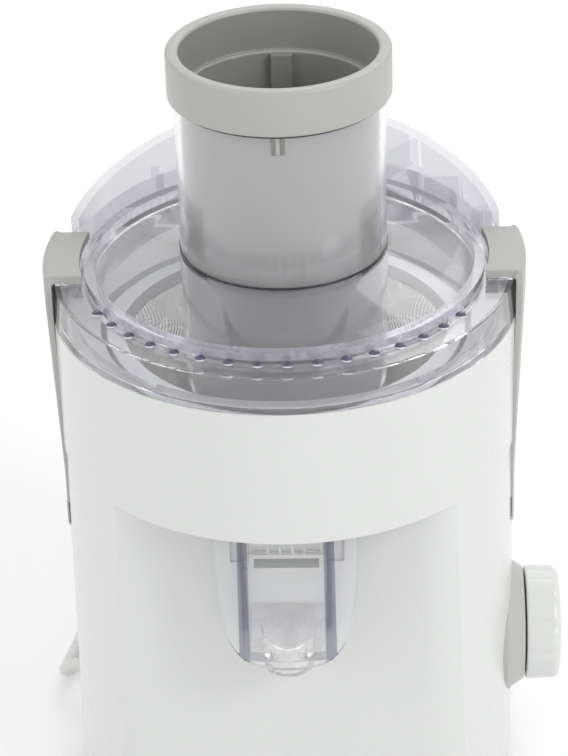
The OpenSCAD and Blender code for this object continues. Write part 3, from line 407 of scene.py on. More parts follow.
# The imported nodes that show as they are, under the finish that each gets
NODE_FINISH = {
    "housing": ["base_housing", "base_plate", "juice_bowl", "pulp_container", "cooling_fan"],
    "rubber": ["feet", "motor_mounts", "shaft_seal"],
    "steel": ["base_screws", "knob_shaft", "pivot_pin_left", "pivot_pin_right", "tie_bolts", "motor_shaft",
              "bearing_upper", "bearing_lower"],
    "dark": ["rotary_switch", "drive_coupling"],
    "cast": ["motor_bracket_upper", "motor_bracket_lower"],
    "lamination": ["stator_core", "armature"],
    "copper": ["field_coils", "commutator"],
    "brass": ["brush_gear"],
    "pale": ["basket_frame"],
    "stainless": ["grater_disc"],
    "cord": ["strain_relief"],
}


def dress(node, material):
    """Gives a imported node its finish."""
    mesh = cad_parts[node].data
    mesh.materials.clear()
    mesh.materials.append(material)


# ---- Sizes and colours that a user would change ----


def length(name, description, default):
    return FloatProperty(name=name, description=description, default=default, unit="LENGTH", precision=5)


def count_of(name, description, default):
    return IntProperty(name=name, description=description, default=default, min=0)


def colour(name, description, default):
    return FloatVectorProperty(name=name, description=description, default=default, subtype="COLOR",
                               min=0, max=1)


class JuicerSizes(bpy.types.PropertyGroup):
    """Sizes of the shaped pieces."""

    collar_radius: length("Collar radius", "Outer radius of the pusher's collar", PUSHER[1].x)
    collar_height: length("Collar height", "Height of the pusher's collar", 0.0188)
    cup_depth: length("Cup depth", "Depth of the cup in the pusher's collar", 0.018)
    pusher_radius: length("Pusher radius", "Outer radius of the pusher's tube", 0.0393)
    pusher_wall: length("Pusher wall", "Wall of the pusher", 0.0022)
    arm_width: length("Arm width", "Width of a lock arm at the top", 0.041)
    arm_foot_width: length("Arm foot width", "Width of a lock arm at its pivot", 0.030)
    knob_radius: length("Knob radius", "Radius of the speed knob", 0.025)
    knob_flutes: count_of("Knob flutes", "Number of shallow grips round the knob", 12)
    dimples: count_of("Dimples", "Number of dimples along the front of the lid", 16)
    cord_diameter: length("Cord diameter", "Diameter of the mains cord", 0.0066)


class JuicerColours(bpy.types.PropertyGroup):
    """Colours of the finishes."""

    white: colour("White", "White mouldings", (0.79, 0.80, 0.785))
    grey: colour("Grey", "Pusher", (0.49, 0.495, 0.465))
    arm: colour("Arm grey", "Lock arms", (0.50, 0.505, 0.48))
    bezel: colour("Bezel grey", "Ring round the speed knob", (0.54, 0.54, 0.52))
    # Inside grey is painted shade for the dim inner walls of the hollow pusher
    inside: colour("Inside grey", "Inside of the hollow pusher", (0.33, 0.33, 0.31))
    pale: colour("Pale", "Band of the filter basket", (0.86, 0.89, 0.90))
    clear: colour("Clear", "Clear mouldings", (0.962, 0.957, 0.985))
    bead: colour("Bead", "Raised ring of the lid", (0.88, 0.865, 0.95))
    hood: colour("Hood", "Thin walls of the lid's hood", (0.76, 0.755, 0.86))
    rail: colour("Rail", "Side walls of the spout, seen along their depth", (0.10, 0.095, 0.23))


# ---- Cord ----

# Everything about the cord is in millimetres: its way from the housing's side to the coil behind it,
# the coil's middle, lanes and levels, the plug's place and pins, and the sleeve at the housing's side
CORD_ROUTE = [
    (-100.4, 44.8, 16), (-105, 47, 14.4), (-109, 51, 9.5), (-110, 58, 5), (-108, 70, 3.4), (-104, 92, 3.4),
    (-96, 136, 3.4), (-86, 168, 3.4), (-70, 198, 3.4), (-46, 220, 3.4), (-20, 228, 3.4), (0, 228.6, 3.4),
]
COIL_AT = (0.0, 268.0)
COIL_LANES = (39.4, 32.7)
COIL_LEVELS = (3.4, 10.1)
PLUG_TAIL_X = 24.8
TAIL_IN_PLUG = 3
PLUG_Z = 9.6
PIN_ASIDE = 9.5
SLEEVE_START = 97.9
SLEEVE_Z = 16
SLEEVE_LENGTH = 12.0
SLEEVE_BORE = 3.36
SLEEVE_TURN = math.radians(156)


def eased(a, start, end):
    """0 before start, 1 after end, and a smooth rise between."""
    t = np.clip((a - start) / (end - start), 0, 1)
    return t * t * (3 - 2 * t)


def cord_path():
    """The cord's middle line: the route, three turns of coil in two lanes and two levels, then the plug.

    In the coil the lane changes inwards before the first turn closes, the level rises before that
    crossing in the second turn, and the lane changes back outwards on the upper level."""
    route = smooth_path(CORD_ROUTE, 6)
    a = np.linspace(0, 1080, 182)[1:]
    inwards = eased(a, 300, 360) - eased(a, 900, 960)
    radius = COIL_LANES[0] + (COIL_LANES[1] - COIL_LANES[0]) * inwards
    level = COIL_LEVELS[0] + (COIL_LEVELS[1] - COIL_LEVELS[0]) * eased(a, 600, 660)
    angle = np.radians(a - 90)
    coil = np.stack([COIL_AT[0] + radius * np.cos(angle), COIL_AT[1] + radius * np.sin(angle), level], -1)
    t = np.linspace(0, 1, 6)[1:]
    tail = np.stack(
        [t * (PLUG_TAIL_X + TAIL_IN_PLUG), np.full(5, COIL_AT[1] - COIL_LANES[0]),
         COIL_LEVELS[1] + (PLUG_Z - COIL_LEVELS[1]) * eased(t, 0, 0.9)], -1)
    return np.vstack([route, coil, tail]) * MM


class JUICER_OT_cord(bpy.types.Operator):
    """Mains cord with its coil, strain relief and plug"""

    bl_idname = "juicer.cord"
    bl_label = "Cord"

    def execute(self, context):
        sizes = context.scene.juicer_sizes
        path = cord_path()
        angles = circle(12)
        section = np.stack([np.cos(angles), np.sin(angles)], -1) * sizes.cord_diameter / 2
        up = np.broadcast_to([0.0, 0.0, 1.0], path.shape)
        cord = piece("mains_cord", [closed_tube(carried(path, section, up))], FINISH["cord"], "base",
                     60, ["cord", "cord_coil"])
        # Plug: a waisted body on two round pins, carried along +X
        plug_at = PLUG[0].x, (PLUG[0].y + PLUG[1].y) / 2, PLUG_Z * MM
        body_x = np.array([0, 0.6, 4, 9, 14, 15.5, 17, 24, 34, 41, 43.2, 44]) * MM
        body_r = np.array([3.6, 4.3, 4.7, 5.6, 6.9, 8.2, 8.8, 8.4, 8.7, 8.9, 8.5, 7.4]) * MM
        flat = np.clip(1 + 0.10 * np.cos(4 * circle(40)), 0.92, 1.0)[:, None]
        body = along_x(around(body_r * flat, body_x, circle(40)), *plug_at).transpose(1, 0, 2)
        pin_x = np.array([43.9, 60.2, 61.4, 61.9]) * MM
        pin_r = np.array([2.0, 2.0, 1.5, 0.8]) * MM
        pin = along_x(around(pin_r, pin_x, circle(24)), *plug_at).transpose(1, 0, 2)
        pins = [closed_tube(pin + np.array([0, side * PIN_ASIDE * MM, 0])) for side in (-1, 1)]
        plug = piece("mains_plug", [closed_tube(body)], FINISH["cord"], "base", 40,
                     ["plug"])
        blades = piece("plug_pins", pins, FINISH["brass"], "base", 40)
        # Strain relief: a tapered sleeve with raised rings, out of the housing's side
        t = np.linspace(0, 1, 61)
        rings = 0.35 * (np.abs(((t * 7) % 1) - 0.5) < 0.28) * (t > 0.08) * (t < 0.9)
        outer = (5.2 - 0.9 * t + rings * 0.5) * MM
        inner = np.full(61, SLEEVE_BORE * MM)
        z = t * SLEEVE_LENGTH * MM
        sleeve = around(np.concatenate([outer, inner]), np.concatenate([z, z[::-1]]), circle(40))
        sleeve = along_x(sleeve, SLEEVE_START * MM, 0, SLEEVE_Z * MM)
        c, s = math.cos(SLEEVE_TURN), math.sin(SLEEVE_TURN)
        sleeve = sleeve @ np.array([[c, s, 0], [-s, c, 0], [0, 0, 1]])
        relief = piece("cord_sleeve", [shell(sleeve)], FINISH["cord"], "base", 30)
        return {"FINISHED"}


# ---- Pusher, arms, knob and basket ----


# The pusher's guide rib inside and its key's groove outside, both at the back, and the lug at the front
RIB_HEIGHT, RIB_HALF_WIDTH = 3.0 * MM, 4.9 * MM
GROOVE_DEPTH, GROOVE_HALF_WIDTH = 1.7 * MM, 3.0 * MM
LUG_FOOT_BELOW_COLLAR = 9 * MM
CUP_INSIDE_COLLAR = 5.2 * MM


class JUICER_OT_pusher(bpy.types.Operator):
    """Hollow pusher with its collar, the cup in it, the guide rib at the back and the lug at the front"""

    bl_idname = "juicer.pusher"
    bl_label = "Pusher"

    def execute(self, context):
        s = context.scene.juicer_sizes
        foot, top = PUSHER[0].z, PUSHER[1].z
        collar = top - s.collar_height
        ledge = top - s.cup_depth
        inner = s.pusher_radius - s.pusher_wall
        cup = s.collar_radius - CUP_INSIDE_COLLAR
        outline = rounded_loop([
            (0.0, foot, 0), (s.pusher_radius, foot, 1.6 * MM), (s.pusher_radius, collar, 0.4 * MM),
            (s.collar_radius, collar, 0.9 * MM), (s.collar_radius, top, 1.3 * MM), (cup, top, 1.3 * MM),
            (cup - 0.2 * MM, ledge, 0.8 * MM), (inner, ledge, 0.9 * MM),
            (inner, foot + s.pusher_wall, 2.5 * MM), (0.0, foot + s.pusher_wall, 0),
        ], 6)
        # Angles closely spaced at the sides of the rib and of the groove
        rib = np.array([4.55, 4.7]) * MM / inner
        groove = np.array([2.9, 3.05]) * MM / s.pusher_radius
        back = math.pi / 2
        angles = np.unique(np.round(np.concatenate(
            [circle(144), back - rib, back + rib, back - groove, back + groove]), 6))
        beside = np.abs(angles - back) * s.pusher_radius
        r = np.broadcast_to(outline[:, 0], (len(angles), len(outline))).copy()
        z = np.broadcast_to(outline[:, 1], r.shape)
        tube_inside = (np.abs(r - inner) < 0.2 * MM) & (z < ledge - 0.8 * MM)
        tube_outside = (np.abs(r - s.pusher_radius) < 0.2 * MM) & (z < collar - 0.3 * MM)
        r -= RIB_HEIGHT * (beside < RIB_HALF_WIDTH)[:, None] * tube_inside
        r -= GROOVE_DEPTH * (beside < GROOVE_HALF_WIDTH)[:, None] * tube_outside
        tube = around(r, z, angles)
        # Lug: a small block that stands on the tube's front, its section carried upwards
        block = rounded_loop([
            (-0.9, -38.6, 0.3), (0.9, -38.6, 0.3), (0.9, -41.6, 0.4), (-0.9, -41.6, 0.4)], 4) * MM
        rise = np.array([0, 0.3, 0.8, 8.9]) * MM + collar - LUG_FOOT_BELOW_COLLAR
        shrink = np.array([0.86, 0.97, 1, 1])[:, None, None]
        middle = block.mean(0)
        lug = np.concatenate([(block - middle) * shrink + middle,
                              np.broadcast_to(rise[:, None, None], (4, len(block), 1))], -1)
        made = piece("pusher_cup", [shell(tube, close_columns=False), closed_tube(lug)], FINISH["grey"],
                     "pusher", 32, ["pusher"])
        # The walls that look inwards get a darker grey, painted shade for the dim inside of the hollow
        # pusher
        x, y, z = middles(made)
        wall = np.where(z < ledge, inner, cup) + 0.3 * MM
        shaded_inside_walls = (z > foot + 1 * MM) & (z < top - 1.2 * MM) & (np.hypot(x, y) < wall)
        finish_faces(made, shaded_inside_walls, FINISH["inside"])
        return {"FINISHED"}


# A lock arm's section in millimetres: level, outer radius, inner level and inner radius of each station
ARM_STATIONS = [
    (134.9, 95.4, 132.6, 93.2), (139, 95.4, 139, 93.2), (149, 95.4, 149, 93.2), (159, 95.4, 159, 93.49),
    (209, 97.15, 209, 94.97), (242, 98.3, 233.9, 95.7), (253.9, 98.3, 250.5, 95.7),
    (254.9, 98.0, 251.6, 95.5), (255.3, 97.0, 252.0, 94.7), (255.3, 94.9, 252.0, 93.6),
    (255.3, 83.4, 252.0, 83.4),
]
# The levels between which it widens, the roundness of its edges, and the grooves across its outer face:
# their levels, height, half length and depth
ARM_WIDENS = (149, 209)
ARM_EDGE = 0.5
GROOVE_LEVELS = (184, 190, 196, 202)
GROOVE_HEIGHT = 2
GROOVE_REACH = 11
ARM_GROOVE_DEPTH = 0.5
# The station past which the arm turns in over the lid
TURNED_IN = 8.5


def arm_shell(side, sizes):
    """A lock arm: a thick sheet whose outer and inner faces are turned about the juicer's axis.

    A station is (level, radius) on each face; across the width the point goes to y = share * half
    width at that level and x = square root of (radius squared - y squared). The last stations turn
    inwards over the lid. Two points on a station, one on each face, are joined along the four edges."""
    base = np.array(ARM_STATIONS)
    along = np.arange(len(base), dtype=float)
    beside = (-0.1, 0.1, GROOVE_HEIGHT - 0.1, GROOVE_HEIGHT + 0.1)
    grooves = np.interp([level + d for level in GROOVE_LEVELS for d in beside], base[:6, 0], along[:6])
    s = np.concatenate([along, np.linspace(2, 5, 46), grooves, np.linspace(9, 10, 6)])
    s = np.unique(np.round(s, 6))
    outer_z, outer_r, inner_z, inner_r = (np.interp(s, along, base[:, k]) for k in range(4))
    half = np.interp(outer_z, ARM_WIDENS, [sizes.arm_foot_width / MM / 2, sizes.arm_width / MM / 2])
    half = np.where(s > TURNED_IN, sizes.arm_width / MM / 2 - 1, half)[:, None]
    # Columns across: a quarter circle at each edge, and two lines at each end of the grooves
    turn = np.linspace(0, math.pi / 2, 5)
    edge = ARM_EDGE * (1 - np.cos(turn))
    ends = np.array([GROOVE_REACH - 0.1, GROOVE_REACH + 0.1])
    middle = np.concatenate([-ends[::-1], np.linspace(-10, 10, 11), ends])
    ones = np.ones((len(s), 1))
    between = (half + GROOVE_REACH - 0.4) / 2
    y = np.concatenate([-half + edge, -between, ones * middle, between, half - edge[::-1]], 1)
    drop = np.zeros(y.shape[1])
    drop[:5] = ARM_EDGE * (1 - np.sin(turn))
    drop[-5:] = drop[:5][::-1]
    grooved = np.zeros(len(s), bool)
    for level in GROOVE_LEVELS:
        grooved |= (outer_z > level) & (outer_z < level + GROOVE_HEIGHT)
    inwards = (s > TURNED_IN)[:, None]
    grooved = grooved[:, None] & (np.abs(y) < GROOVE_REACH)
    r = outer_r[:, None] - np.where(inwards, 0, drop) - ARM_GROOVE_DEPTH * grooved
    top = outer_z[:, None] - np.where(inwards, drop, 0)
    faces = []
    for radius, z in ((r, top), (inner_r[:, None] * np.ones_like(y), inner_z[:, None] * np.ones_like(y))):
        faces.append(np.stack([side * np.sqrt(radius**2 - y**2), y, z], -1))
    # Round the sheet: outer face, then the inner face the other way, closed at both ends of the arm
    loop = np.concatenate([faces[0], faces[1][:, ::-1]], 1) * MM
    points = loop.reshape(-1, 3)
    rows, columns = loop.shape[:2]
    quads = grid_faces(rows, columns, False, True)
    half_count = columns // 2
    k = np.arange(half_count - 1)
    caps = [np.stack([row * columns + k, row * columns + k + 1, row * columns + columns - 2 - k,
                      row * columns + columns - 1 - k], -1) for row in (0, rows - 1)]
    return points, np.concatenate([quads, *caps])


def arm_foot(side, sizes):
    """The foot inside the pocket: a barrel about the pivot that widens to the bar, carried along Y."""
    pivot_x, pivot_z, barrel, end, bar = 88.5, 139.0, 4.2, 8.1, 94.6
    inside = np.radians(np.linspace(90, 270, 19))
    reach = math.acos((bar - pivot_x) / end)
    below = np.linspace(-math.pi / 2, -reach, 7)
    loop = np.concatenate([
        np.stack([barrel * np.cos(inside), barrel * np.sin(inside)], -1),
        np.stack([end * np.cos(below), end * np.sin(below)], -1),
        np.stack([end * np.cos(-below[::-1]), end * np.sin(-below[::-1])], -1)])
    half = sizes.arm_foot_width / MM / 2
    y = np.array([-half, -half + 0.2, -half + 0.6, half - 0.6, half - 0.2, half])
    grow = np.array([0.93, 0.98, 1, 1, 0.98, 0.93])[:, None]
    x = side * (pivot_x + loop[None, :, 0] * grow)
    z = pivot_z + loop[None, :, 1] * grow
    rings = np.stack([x, np.broadcast_to(y[:, None], x.shape), z], -1) * MM
    return closed_tube(rings)


class JUICER_OT_arms(bpy.types.Operator):
    """The two lock arms with their feet in the pivot pockets"""

    bl_idname = "juicer.arms"
    bl_label = "Lock arms"

    def execute(self, context):
        sizes = context.scene.juicer_sizes
        for side, name in ((-1, "left"), (1, "right")):
            piece(f"{name}_lock_arm", [arm_shell(side, sizes), arm_foot(side, sizes)], FINISH["arm"],
                  f"{name}_lock_arm", 40, [f"{name}_arm"])
        return {"FINISHED"}


# The lid's raised ring and its hood behind the arms: the radii between which the ring stands, its height
# above the deck at least, and how far back the hood starts
RING_INSIDE, RING_OUTSIDE = 77 * MM, 82.2 * MM
RING_STANDS = 0.4 * MM
HOOD_START_Y = 20 * MM
# Faces that rest on the bowl's rim go up by this much, so that clear and white never share a surface
RIM_LIFT = 0.15 * MM
# The dimples: their distance from the axis, and in degrees their spacing and the angle of their middle.
# Then the radius and height of a dome, and how far its foot and the pit's floor lie below the deck
DIMPLES_AT = 84.2 * MM
DIMPLE_PITCH = 7.8
DIMPLES_MIDDLE = -92
DIMPLE_RADIUS = 2.2 * MM
DIMPLE_DOME = 1.5 * MM
DIMPLE_SUNK = 0.4 * MM
DIMPLE_FLOOR = 1.17 * MM
# The crescents of painted highlight: their radius, half their greatest thickness, and how far they lie
# below the deck
GLINT_RADIUS = 2.25 * MM
GLINT_THICKNESS = 0.42 * MM
GLINT_SUNK = 0.2 * MM


def band_ring(radius, level, wide, high):
    """A flat ring: a rounded section, wide and high, turned about the juicer's axis."""
    inside, outside, round_off = radius - wide / 2, radius + wide / 2, 0.3 * wide
    section = rounded_loop([(inside, level, round_off), (outside, level, round_off),
                            (outside, level + high, round_off), (inside, level + high, round_off)], 3)
    return shell(around(section[:, 0], section[:, 1], circle(180)))


def dimple_dome():
    """A dome over a flat floor, turned about its own axis: r = R sin(t), z = dome * cos(t) - sunk."""
    t = np.linspace(0, 1, 7) * math.pi / 2
    radius = DIMPLE_RADIUS * np.sin(t)
    top = DECK_Z + (DIMPLE_DOME * np.cos(t) - DIMPLE_SUNK)
    floor = np.full(7, DECK_Z - DIMPLE_FLOOR)
    return around(np.concatenate([radius, radius[::-1]]), np.concatenate([top, floor]), circle(20))


def dimple_glint():
    """A crescent of painted highlight: a round section carried along the dome's front edge, thick * sqrt(1
    - u squared) wide.
    """
    arc = np.radians(np.linspace(205, 335, 15))
    out = np.stack([np.cos(arc), np.sin(arc), 0 * arc], -1)
    path = GLINT_RADIUS * out + np.array([0, 0, DECK_Z - GLINT_SUNK])
    taper = np.sqrt(np.clip(1 - np.linspace(-1, 1, 15) ** 2, 0.02, 1))[:, None, None]
    a, b = np.cos(circle(8))[None, :, None], np.sin(circle(8))[None, :, None]
    return path[:, None] + GLINT_THICKNESS * taper * (a * out[:, None] + b * [0, 0, 1])


class JUICER_OT_lid(bpy.types.Operator):
    """Clear lid, a hair above the bowl's rim, with painted shade and painted highlights in its dimples and
    painted shadow lines round the chute
    """

    bl_idname = "juicer.lid"
    bl_label = "Lid"

    def execute(self, context):
        points, faces = packed_mesh("lid")
        points[np.abs(points[:, 2] - RIM_Z) < 0.02 * MM, 2] += RIM_LIFT
        lid = piece("clear_lid", [(points, faces)], FINISH["clear"], "base", 30, ["lid"])
        # The raised ring is a little milky, and the thin walls of the hood behind the arms are clearer
        x, y, z = middles(lid)
        radius = np.hypot(x, y)
        hood = (y > HOOD_START_Y) & (radius > RING_OUTSIDE)
        ring = (radius > RING_INSIDE) & (radius < RING_OUTSIDE) & (z > DECK_Z + RING_STANDS) & ~hood
        finish_faces(lid, ring + 2 * hood, FINISH["bead"], FINISH["hood"])
        # Dimples: a dark dome in each pit, painted shade for the pit's dark look, and a pale crescent on
        # its front side, a painted highlight
        count = context.scene.juicer_sizes.dimples
        turn = np.radians(DIMPLES_MIDDLE + (np.arange(count) - (count - 1) / 2) * DIMPLE_PITCH)
        where = np.stack([np.cos(turn), np.sin(turn), 0 * turn], -1) * DIMPLES_AT
        shade_cups = [shell(dimple_dome() + at, close_columns=False) for at in where]
        glints = [closed_tube(dimple_glint() + at) for at in where]
        piece("dimple_shade_cups", shade_cups, FINISH["painted_pit_shade"], "base", 50)
        piece("dimple_glints", glints, FINISH["glint"], "base", 50)
        # Painted shadow lines: dark rings round the chute, one just under its mouth and one above the deck,
        # where shade falls in the joints
        seams = [band_ring(42.0 * MM, MOUTH_Z - 1.0 * MM, wide=0.5 * MM, high=0.95 * MM),
                 band_ring(42.1 * MM, DECK_Z + 9.5 * MM, wide=0.6 * MM, high=0.9 * MM)]
        piece("chute_seams", seams, FINISH["seam"], "base", 50)
        return {"FINISHED"}


# How far from its middle the spout's side walls lie, from the inner to the outer face
SPOUT_WALL = (15.4 * MM, 19.6 * MM)


class JUICER_OT_spout(bpy.types.Operator):
    """Clear spout, with its two side walls in the deeper colour that clear plastic has along its length"""

    bl_idname = "juicer.spout"
    bl_label = "Spout"

    def execute(self, context):
        spout = piece("clear_spout", [packed_mesh("spout")], FINISH["spout"], "base", 30,
                      ["spout"])
        aside = np.abs(middles(spout)[0])
        finish_faces(spout, (aside > SPOUT_WALL[0]) & (aside < SPOUT_WALL[1]), FINISH["rail"])
        return {"FINISHED"}


# The knob: how far its back is from the axis, how far its face lies inside its edge, and its grips' depth
KNOB_BACK = 101.2 * MM
KNOB_FACE_SUNK = 0.9 * MM
FLUTE_DEPTH = 0.75 * MM
# The bezel: how far its foot, its front edge and its inside are from the axis, and its gap to the housing
BEZEL_FOOT, BEZEL_EDGE, BEZEL_INSIDE = 88.6 * MM, 92.9 * MM, 95.0 * MM
BEZEL_GAP = 0.12 * MM
# The housing's side: its radius at its foot, the foot's level, and how much it narrows in its height
SIDE_RADIUS, SIDE_FOOT_Z, SIDE_NARROWS, SIDE_HEIGHT = 95.9 * MM, 15 * MM, 1.8, 159.6


class JUICER_OT_knob(bpy.types.Operator):
    """Speed knob with shallow grips, a pointer and its grey bezel"""

    bl_idname = "juicer.knob"
    bl_label = "Speed knob"

    def execute(self, context):
        s = context.scene.juicer_sizes
        front = KNOB[1].x
        face = front - KNOB_FACE_SUNK
        grip = s.knob_radius
        outline = rounded_loop([
            (0.0, KNOB_BACK, 0), (grip, KNOB_BACK, 1.0 * MM), (grip - 0.5 * MM, front - 1.0 * MM, 3.4 * MM),
            (grip - 3.4 * MM, front, 2.0 * MM), (grip - 7.0 * MM, face, 2.0 * MM), (0.0, face, 0),
        ], 7)
        # Grips: hollows round the side, which fade out over the knob's edge
        angles = circle(192)
        r = np.broadcast_to(outline[:, 0], (192, len(outline))).copy()
        flute = 0.5 + 0.5 * np.cos(angles * s.knob_flutes)
        depth = FLUTE_DEPTH * np.clip(flute * 2.4 - 1.4, 0, 1) if s.knob_flutes else 0 * angles
        side_part = np.clip((r - (grip - 4.5 * MM)) / (4.0 * MM), 0, 1)
        r -= depth[:, None] * side_part
        knob = along_x(around(r, outline[:, 1], angles), 0, 0, KNOB_Z)
        # Pointer: a low bar on the face, towards the top
        bar = rounded_loop([
            (-0.9, -0.35, 0.3), (0.9, -0.35, 0.3), (0.9, 0.45, 0.3), (-0.9, 0.45, 0.3)], 4) * MM
        up_r = np.linspace(15.5, 21.0, 9) * MM
        ease = np.sqrt(np.clip(1 - np.abs(np.linspace(-1, 1, 9)) ** 6, 0.02, 1))
        rail = np.stack([
            face + bar[None, :, 1] * ease[:, None],
            bar[None, :, 0] * ease[:, None],
            np.broadcast_to(up_r[:, None] + KNOB_Z, (9, len(bar)))], -1)
        piece("knob_grip", [shell(knob, close_columns=False)], FINISH["housing"], "knob",
              30, ["speed_knob"])
        piece("knob_pointer", [closed_tube(rail)], FINISH["print"], "knob", 40)
        # Bezel: a cone whose back follows the housing's round side, a hair in front of it
        wide = BEZEL[1].z - KNOB_Z
        cone = rounded_loop([
            (wide - 4.5 * MM, BEZEL_FOOT, 0), (wide, BEZEL_FOOT, 0), (wide, BEZEL_EDGE, 1.2 * MM),
            (24.6 * MM, 100.4 * MM, 1.0 * MM), (19.0 * MM, 100.6 * MM, 0.4 * MM),
            (19.0 * MM, BEZEL_INSIDE, 0), (wide - 4.5 * MM, BEZEL_INSIDE, 0),
        ], 5)
        bezel = along_x(around(cone[:, 0], cone[:, 1], circle(144)), 0, 0, KNOB_Z)
        x, y, z = np.moveaxis(bezel, -1, 0)
        side = SIDE_RADIUS - (z - SIDE_FOOT_Z) * SIDE_NARROWS / SIDE_HEIGHT + BEZEL_GAP
        bezel[..., 0] = np.where(x < 92.0 * MM, np.sqrt(np.maximum(side**2 - y**2, 0)), x)
        piece("dial_bezel", [shell(bezel)], FINISH["bezel"], "base", 30, ["knob_bezel"])
        return {"FINISHED"}


# The filter screen: its radius at the foot, its wall, the beads pressed into it, and its holes
SCREEN_FOOT_RADIUS = 41.0 * MM
SCREEN_WALL = 0.5 * MM
BEADS, BEAD_DEPTH = 8, 0.25 * MM
HOLE_PITCH = 0.85 * MM
HOLES_ROUND = 400


class JUICER_OT_basket(bpy.types.Operator):
    """Filter screen of the basket, with its fine holes on a map of its own"""

    bl_idname = "juicer.basket"
    bl_label = "Filter screen"

    def execute(self, context):
        low, high = SCREEN[0].z, SCREEN[1].z
        r_low, r_high = SCREEN_FOOT_RADIUS, SCREEN[1].x
        # A cone with shallow beads pressed into it between the ribs, deepest half way up
        angles, u = circle(180), np.linspace(0, 1, 30)
        height = low + (high - low) * u
        round_beads = 0.5 + 0.5 * np.cos(angles * BEADS)[:, None]
        press = BEAD_DEPTH * np.clip(np.sin(u * math.pi), 0, 1) * round_beads
        outer = r_low + (r_high - r_low) * u - press
        ring_r = np.concatenate([outer, outer[:, ::-1] - SCREEN_WALL], 1)
        cone = around(ring_r, np.concatenate([height, height[::-1]]), angles)
        screen = piece("filter_screen", [shell(cone)], FINISH["screen"], "rotor", 50,
                       ["basket_mesh"])
        # Map: one unit for each hole, around the cone and up it
        mesh = screen.data
        layer = mesh.uv_layers.new(name="screen")
        corner = np.zeros(len(mesh.loops), int)
        mesh.loops.foreach_get("vertex_index", corner)
        co = np.zeros(len(mesh.vertices) * 3)
        mesh.vertices.foreach_get("co", co)
        co = co.reshape(-1, 3)[corner]
        turn = np.arctan2(co[:, 1], co[:, 0]) / (2 * math.pi) + 0.5
        face = np.repeat(np.arange(len(mesh.polygons)), [p.loop_total for p in mesh.polygons])
        starts = np.flatnonzero(np.diff(np.concatenate([[-1], face])))
        wraps = (np.maximum.reduceat(turn, starts) - np.minimum.reduceat(turn, starts) > 0.5)[face]
        turn = np.where(wraps & (turn < 0.5), turn + 1, turn)
        slant = (co[:, 2] - low) * math.hypot(1, (r_high - r_low) / (high - low)) / HOLE_PITCH
        uv = np.stack([turn * HOLES_ROUND, slant], -1)
        layer.data.foreach_set("uv", uv.astype(np.float32).ravel())
        return {"FINISHED"}


class JUICER_OT_nodes(bpy.types.Operator):
    """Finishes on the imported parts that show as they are"""

    bl_idname = "juicer.nodes"
    bl_label = "Finishes"

    def execute(self, context):
        for finish, nodes in NODE_FINISH.items():
            for node in nodes:
                dress(node, FINISH[finish])
        return {"FINISHED"}


# ---- Stage ----


# Floor: how far it reaches each way, how far it lies below the feet, and the glow that makes it white
FLOOR_REACH = 6.0
FLOOR_DROP = 0.0002
FLOOR_GLOW = 0.17
# The light that comes from all round
STUDIO_WHITE = (0.68, 0.685, 0.685)
# Lamps: name, place, the point that each shines at, its width and its power in watts
LAMPS = [
    ("key", (1.35, -0.95, 1.4), (0, 0, 0.2), 1.0, 12.0),
    ("side", (-1.5, -0.8, 1.0), (0, 0, 0.2), 1.0, 4.6),
    ("back", (0.3, 1.5, 1.6), (0, 0, 0.25), 1.2, 5.0),
]
# Camera: its place, its direction as a turn to the left, a dip below the horizon and a roll, and its lens
CAMERA_AT = (0.0307, -0.9780, 0.7610)
CAMERA_TURN, CAMERA_DIP, CAMERA_ROLL = math.radians(1.8763), 0.5206025, -0.0287345
LENS_MM, SENSOR_MM = 128.65, 36
LENS_SHIFT = -0.01260582


def lamp(name, place, target, size, power):
    """A round soft lamp that shines from its place at the target."""
    light = bpy.data.lights.new(name, "AREA")
    light.shape = "DISK"
    light.size = size
    light.energy = power
    made = bpy.data.objects.new(name, light)
    bpy.context.scene.collection.objects.link(made)
    made.location = place
    made.rotation_mode = "QUATERNION"
    made.rotation_quaternion = (Vector(target) - Vector(place)).to_track_quat("-Z", "Y")


def seen_rays(nodes, links):
    """1 on rays from the camera, from a mirror or through glass, 0 on those that light a surface."""
    rays = nodes.new("ShaderNodeLightPath")
    share = rays.outputs["Is Camera Ray"]
    for kind in ("Is Glossy Ray", "Is Transmission Ray"):
        larger = nodes.new("ShaderNodeMath")
        larger.operation = "MAXIMUM"
        links.new(share, larger.inputs[0])
        links.new(rays.outputs[kind], larger.inputs[1])
        share = larger.outputs[0]
    return share


def camera_axes():
    """The camera's right, up and forward: along +Y, dipped, turned about Z and rolled about forward."""
    ahead = [0, math.cos(CAMERA_DIP), -math.sin(CAMERA_DIP)]
    c, s = math.cos(CAMERA_TURN), math.sin(CAMERA_TURN)
    forward = np.array([[c, -s, 0], [s, c, 0], [0, 0, 1]]) @ ahead
    right = np.cross(forward, [0, 0, 1])
    right /= np.linalg.norm(right)
    up = np.cross(right, forward)
    c, s = math.cos(CAMERA_ROLL), math.sin(CAMERA_ROLL)
    return right * c + up * s, up * c - right * s, forward


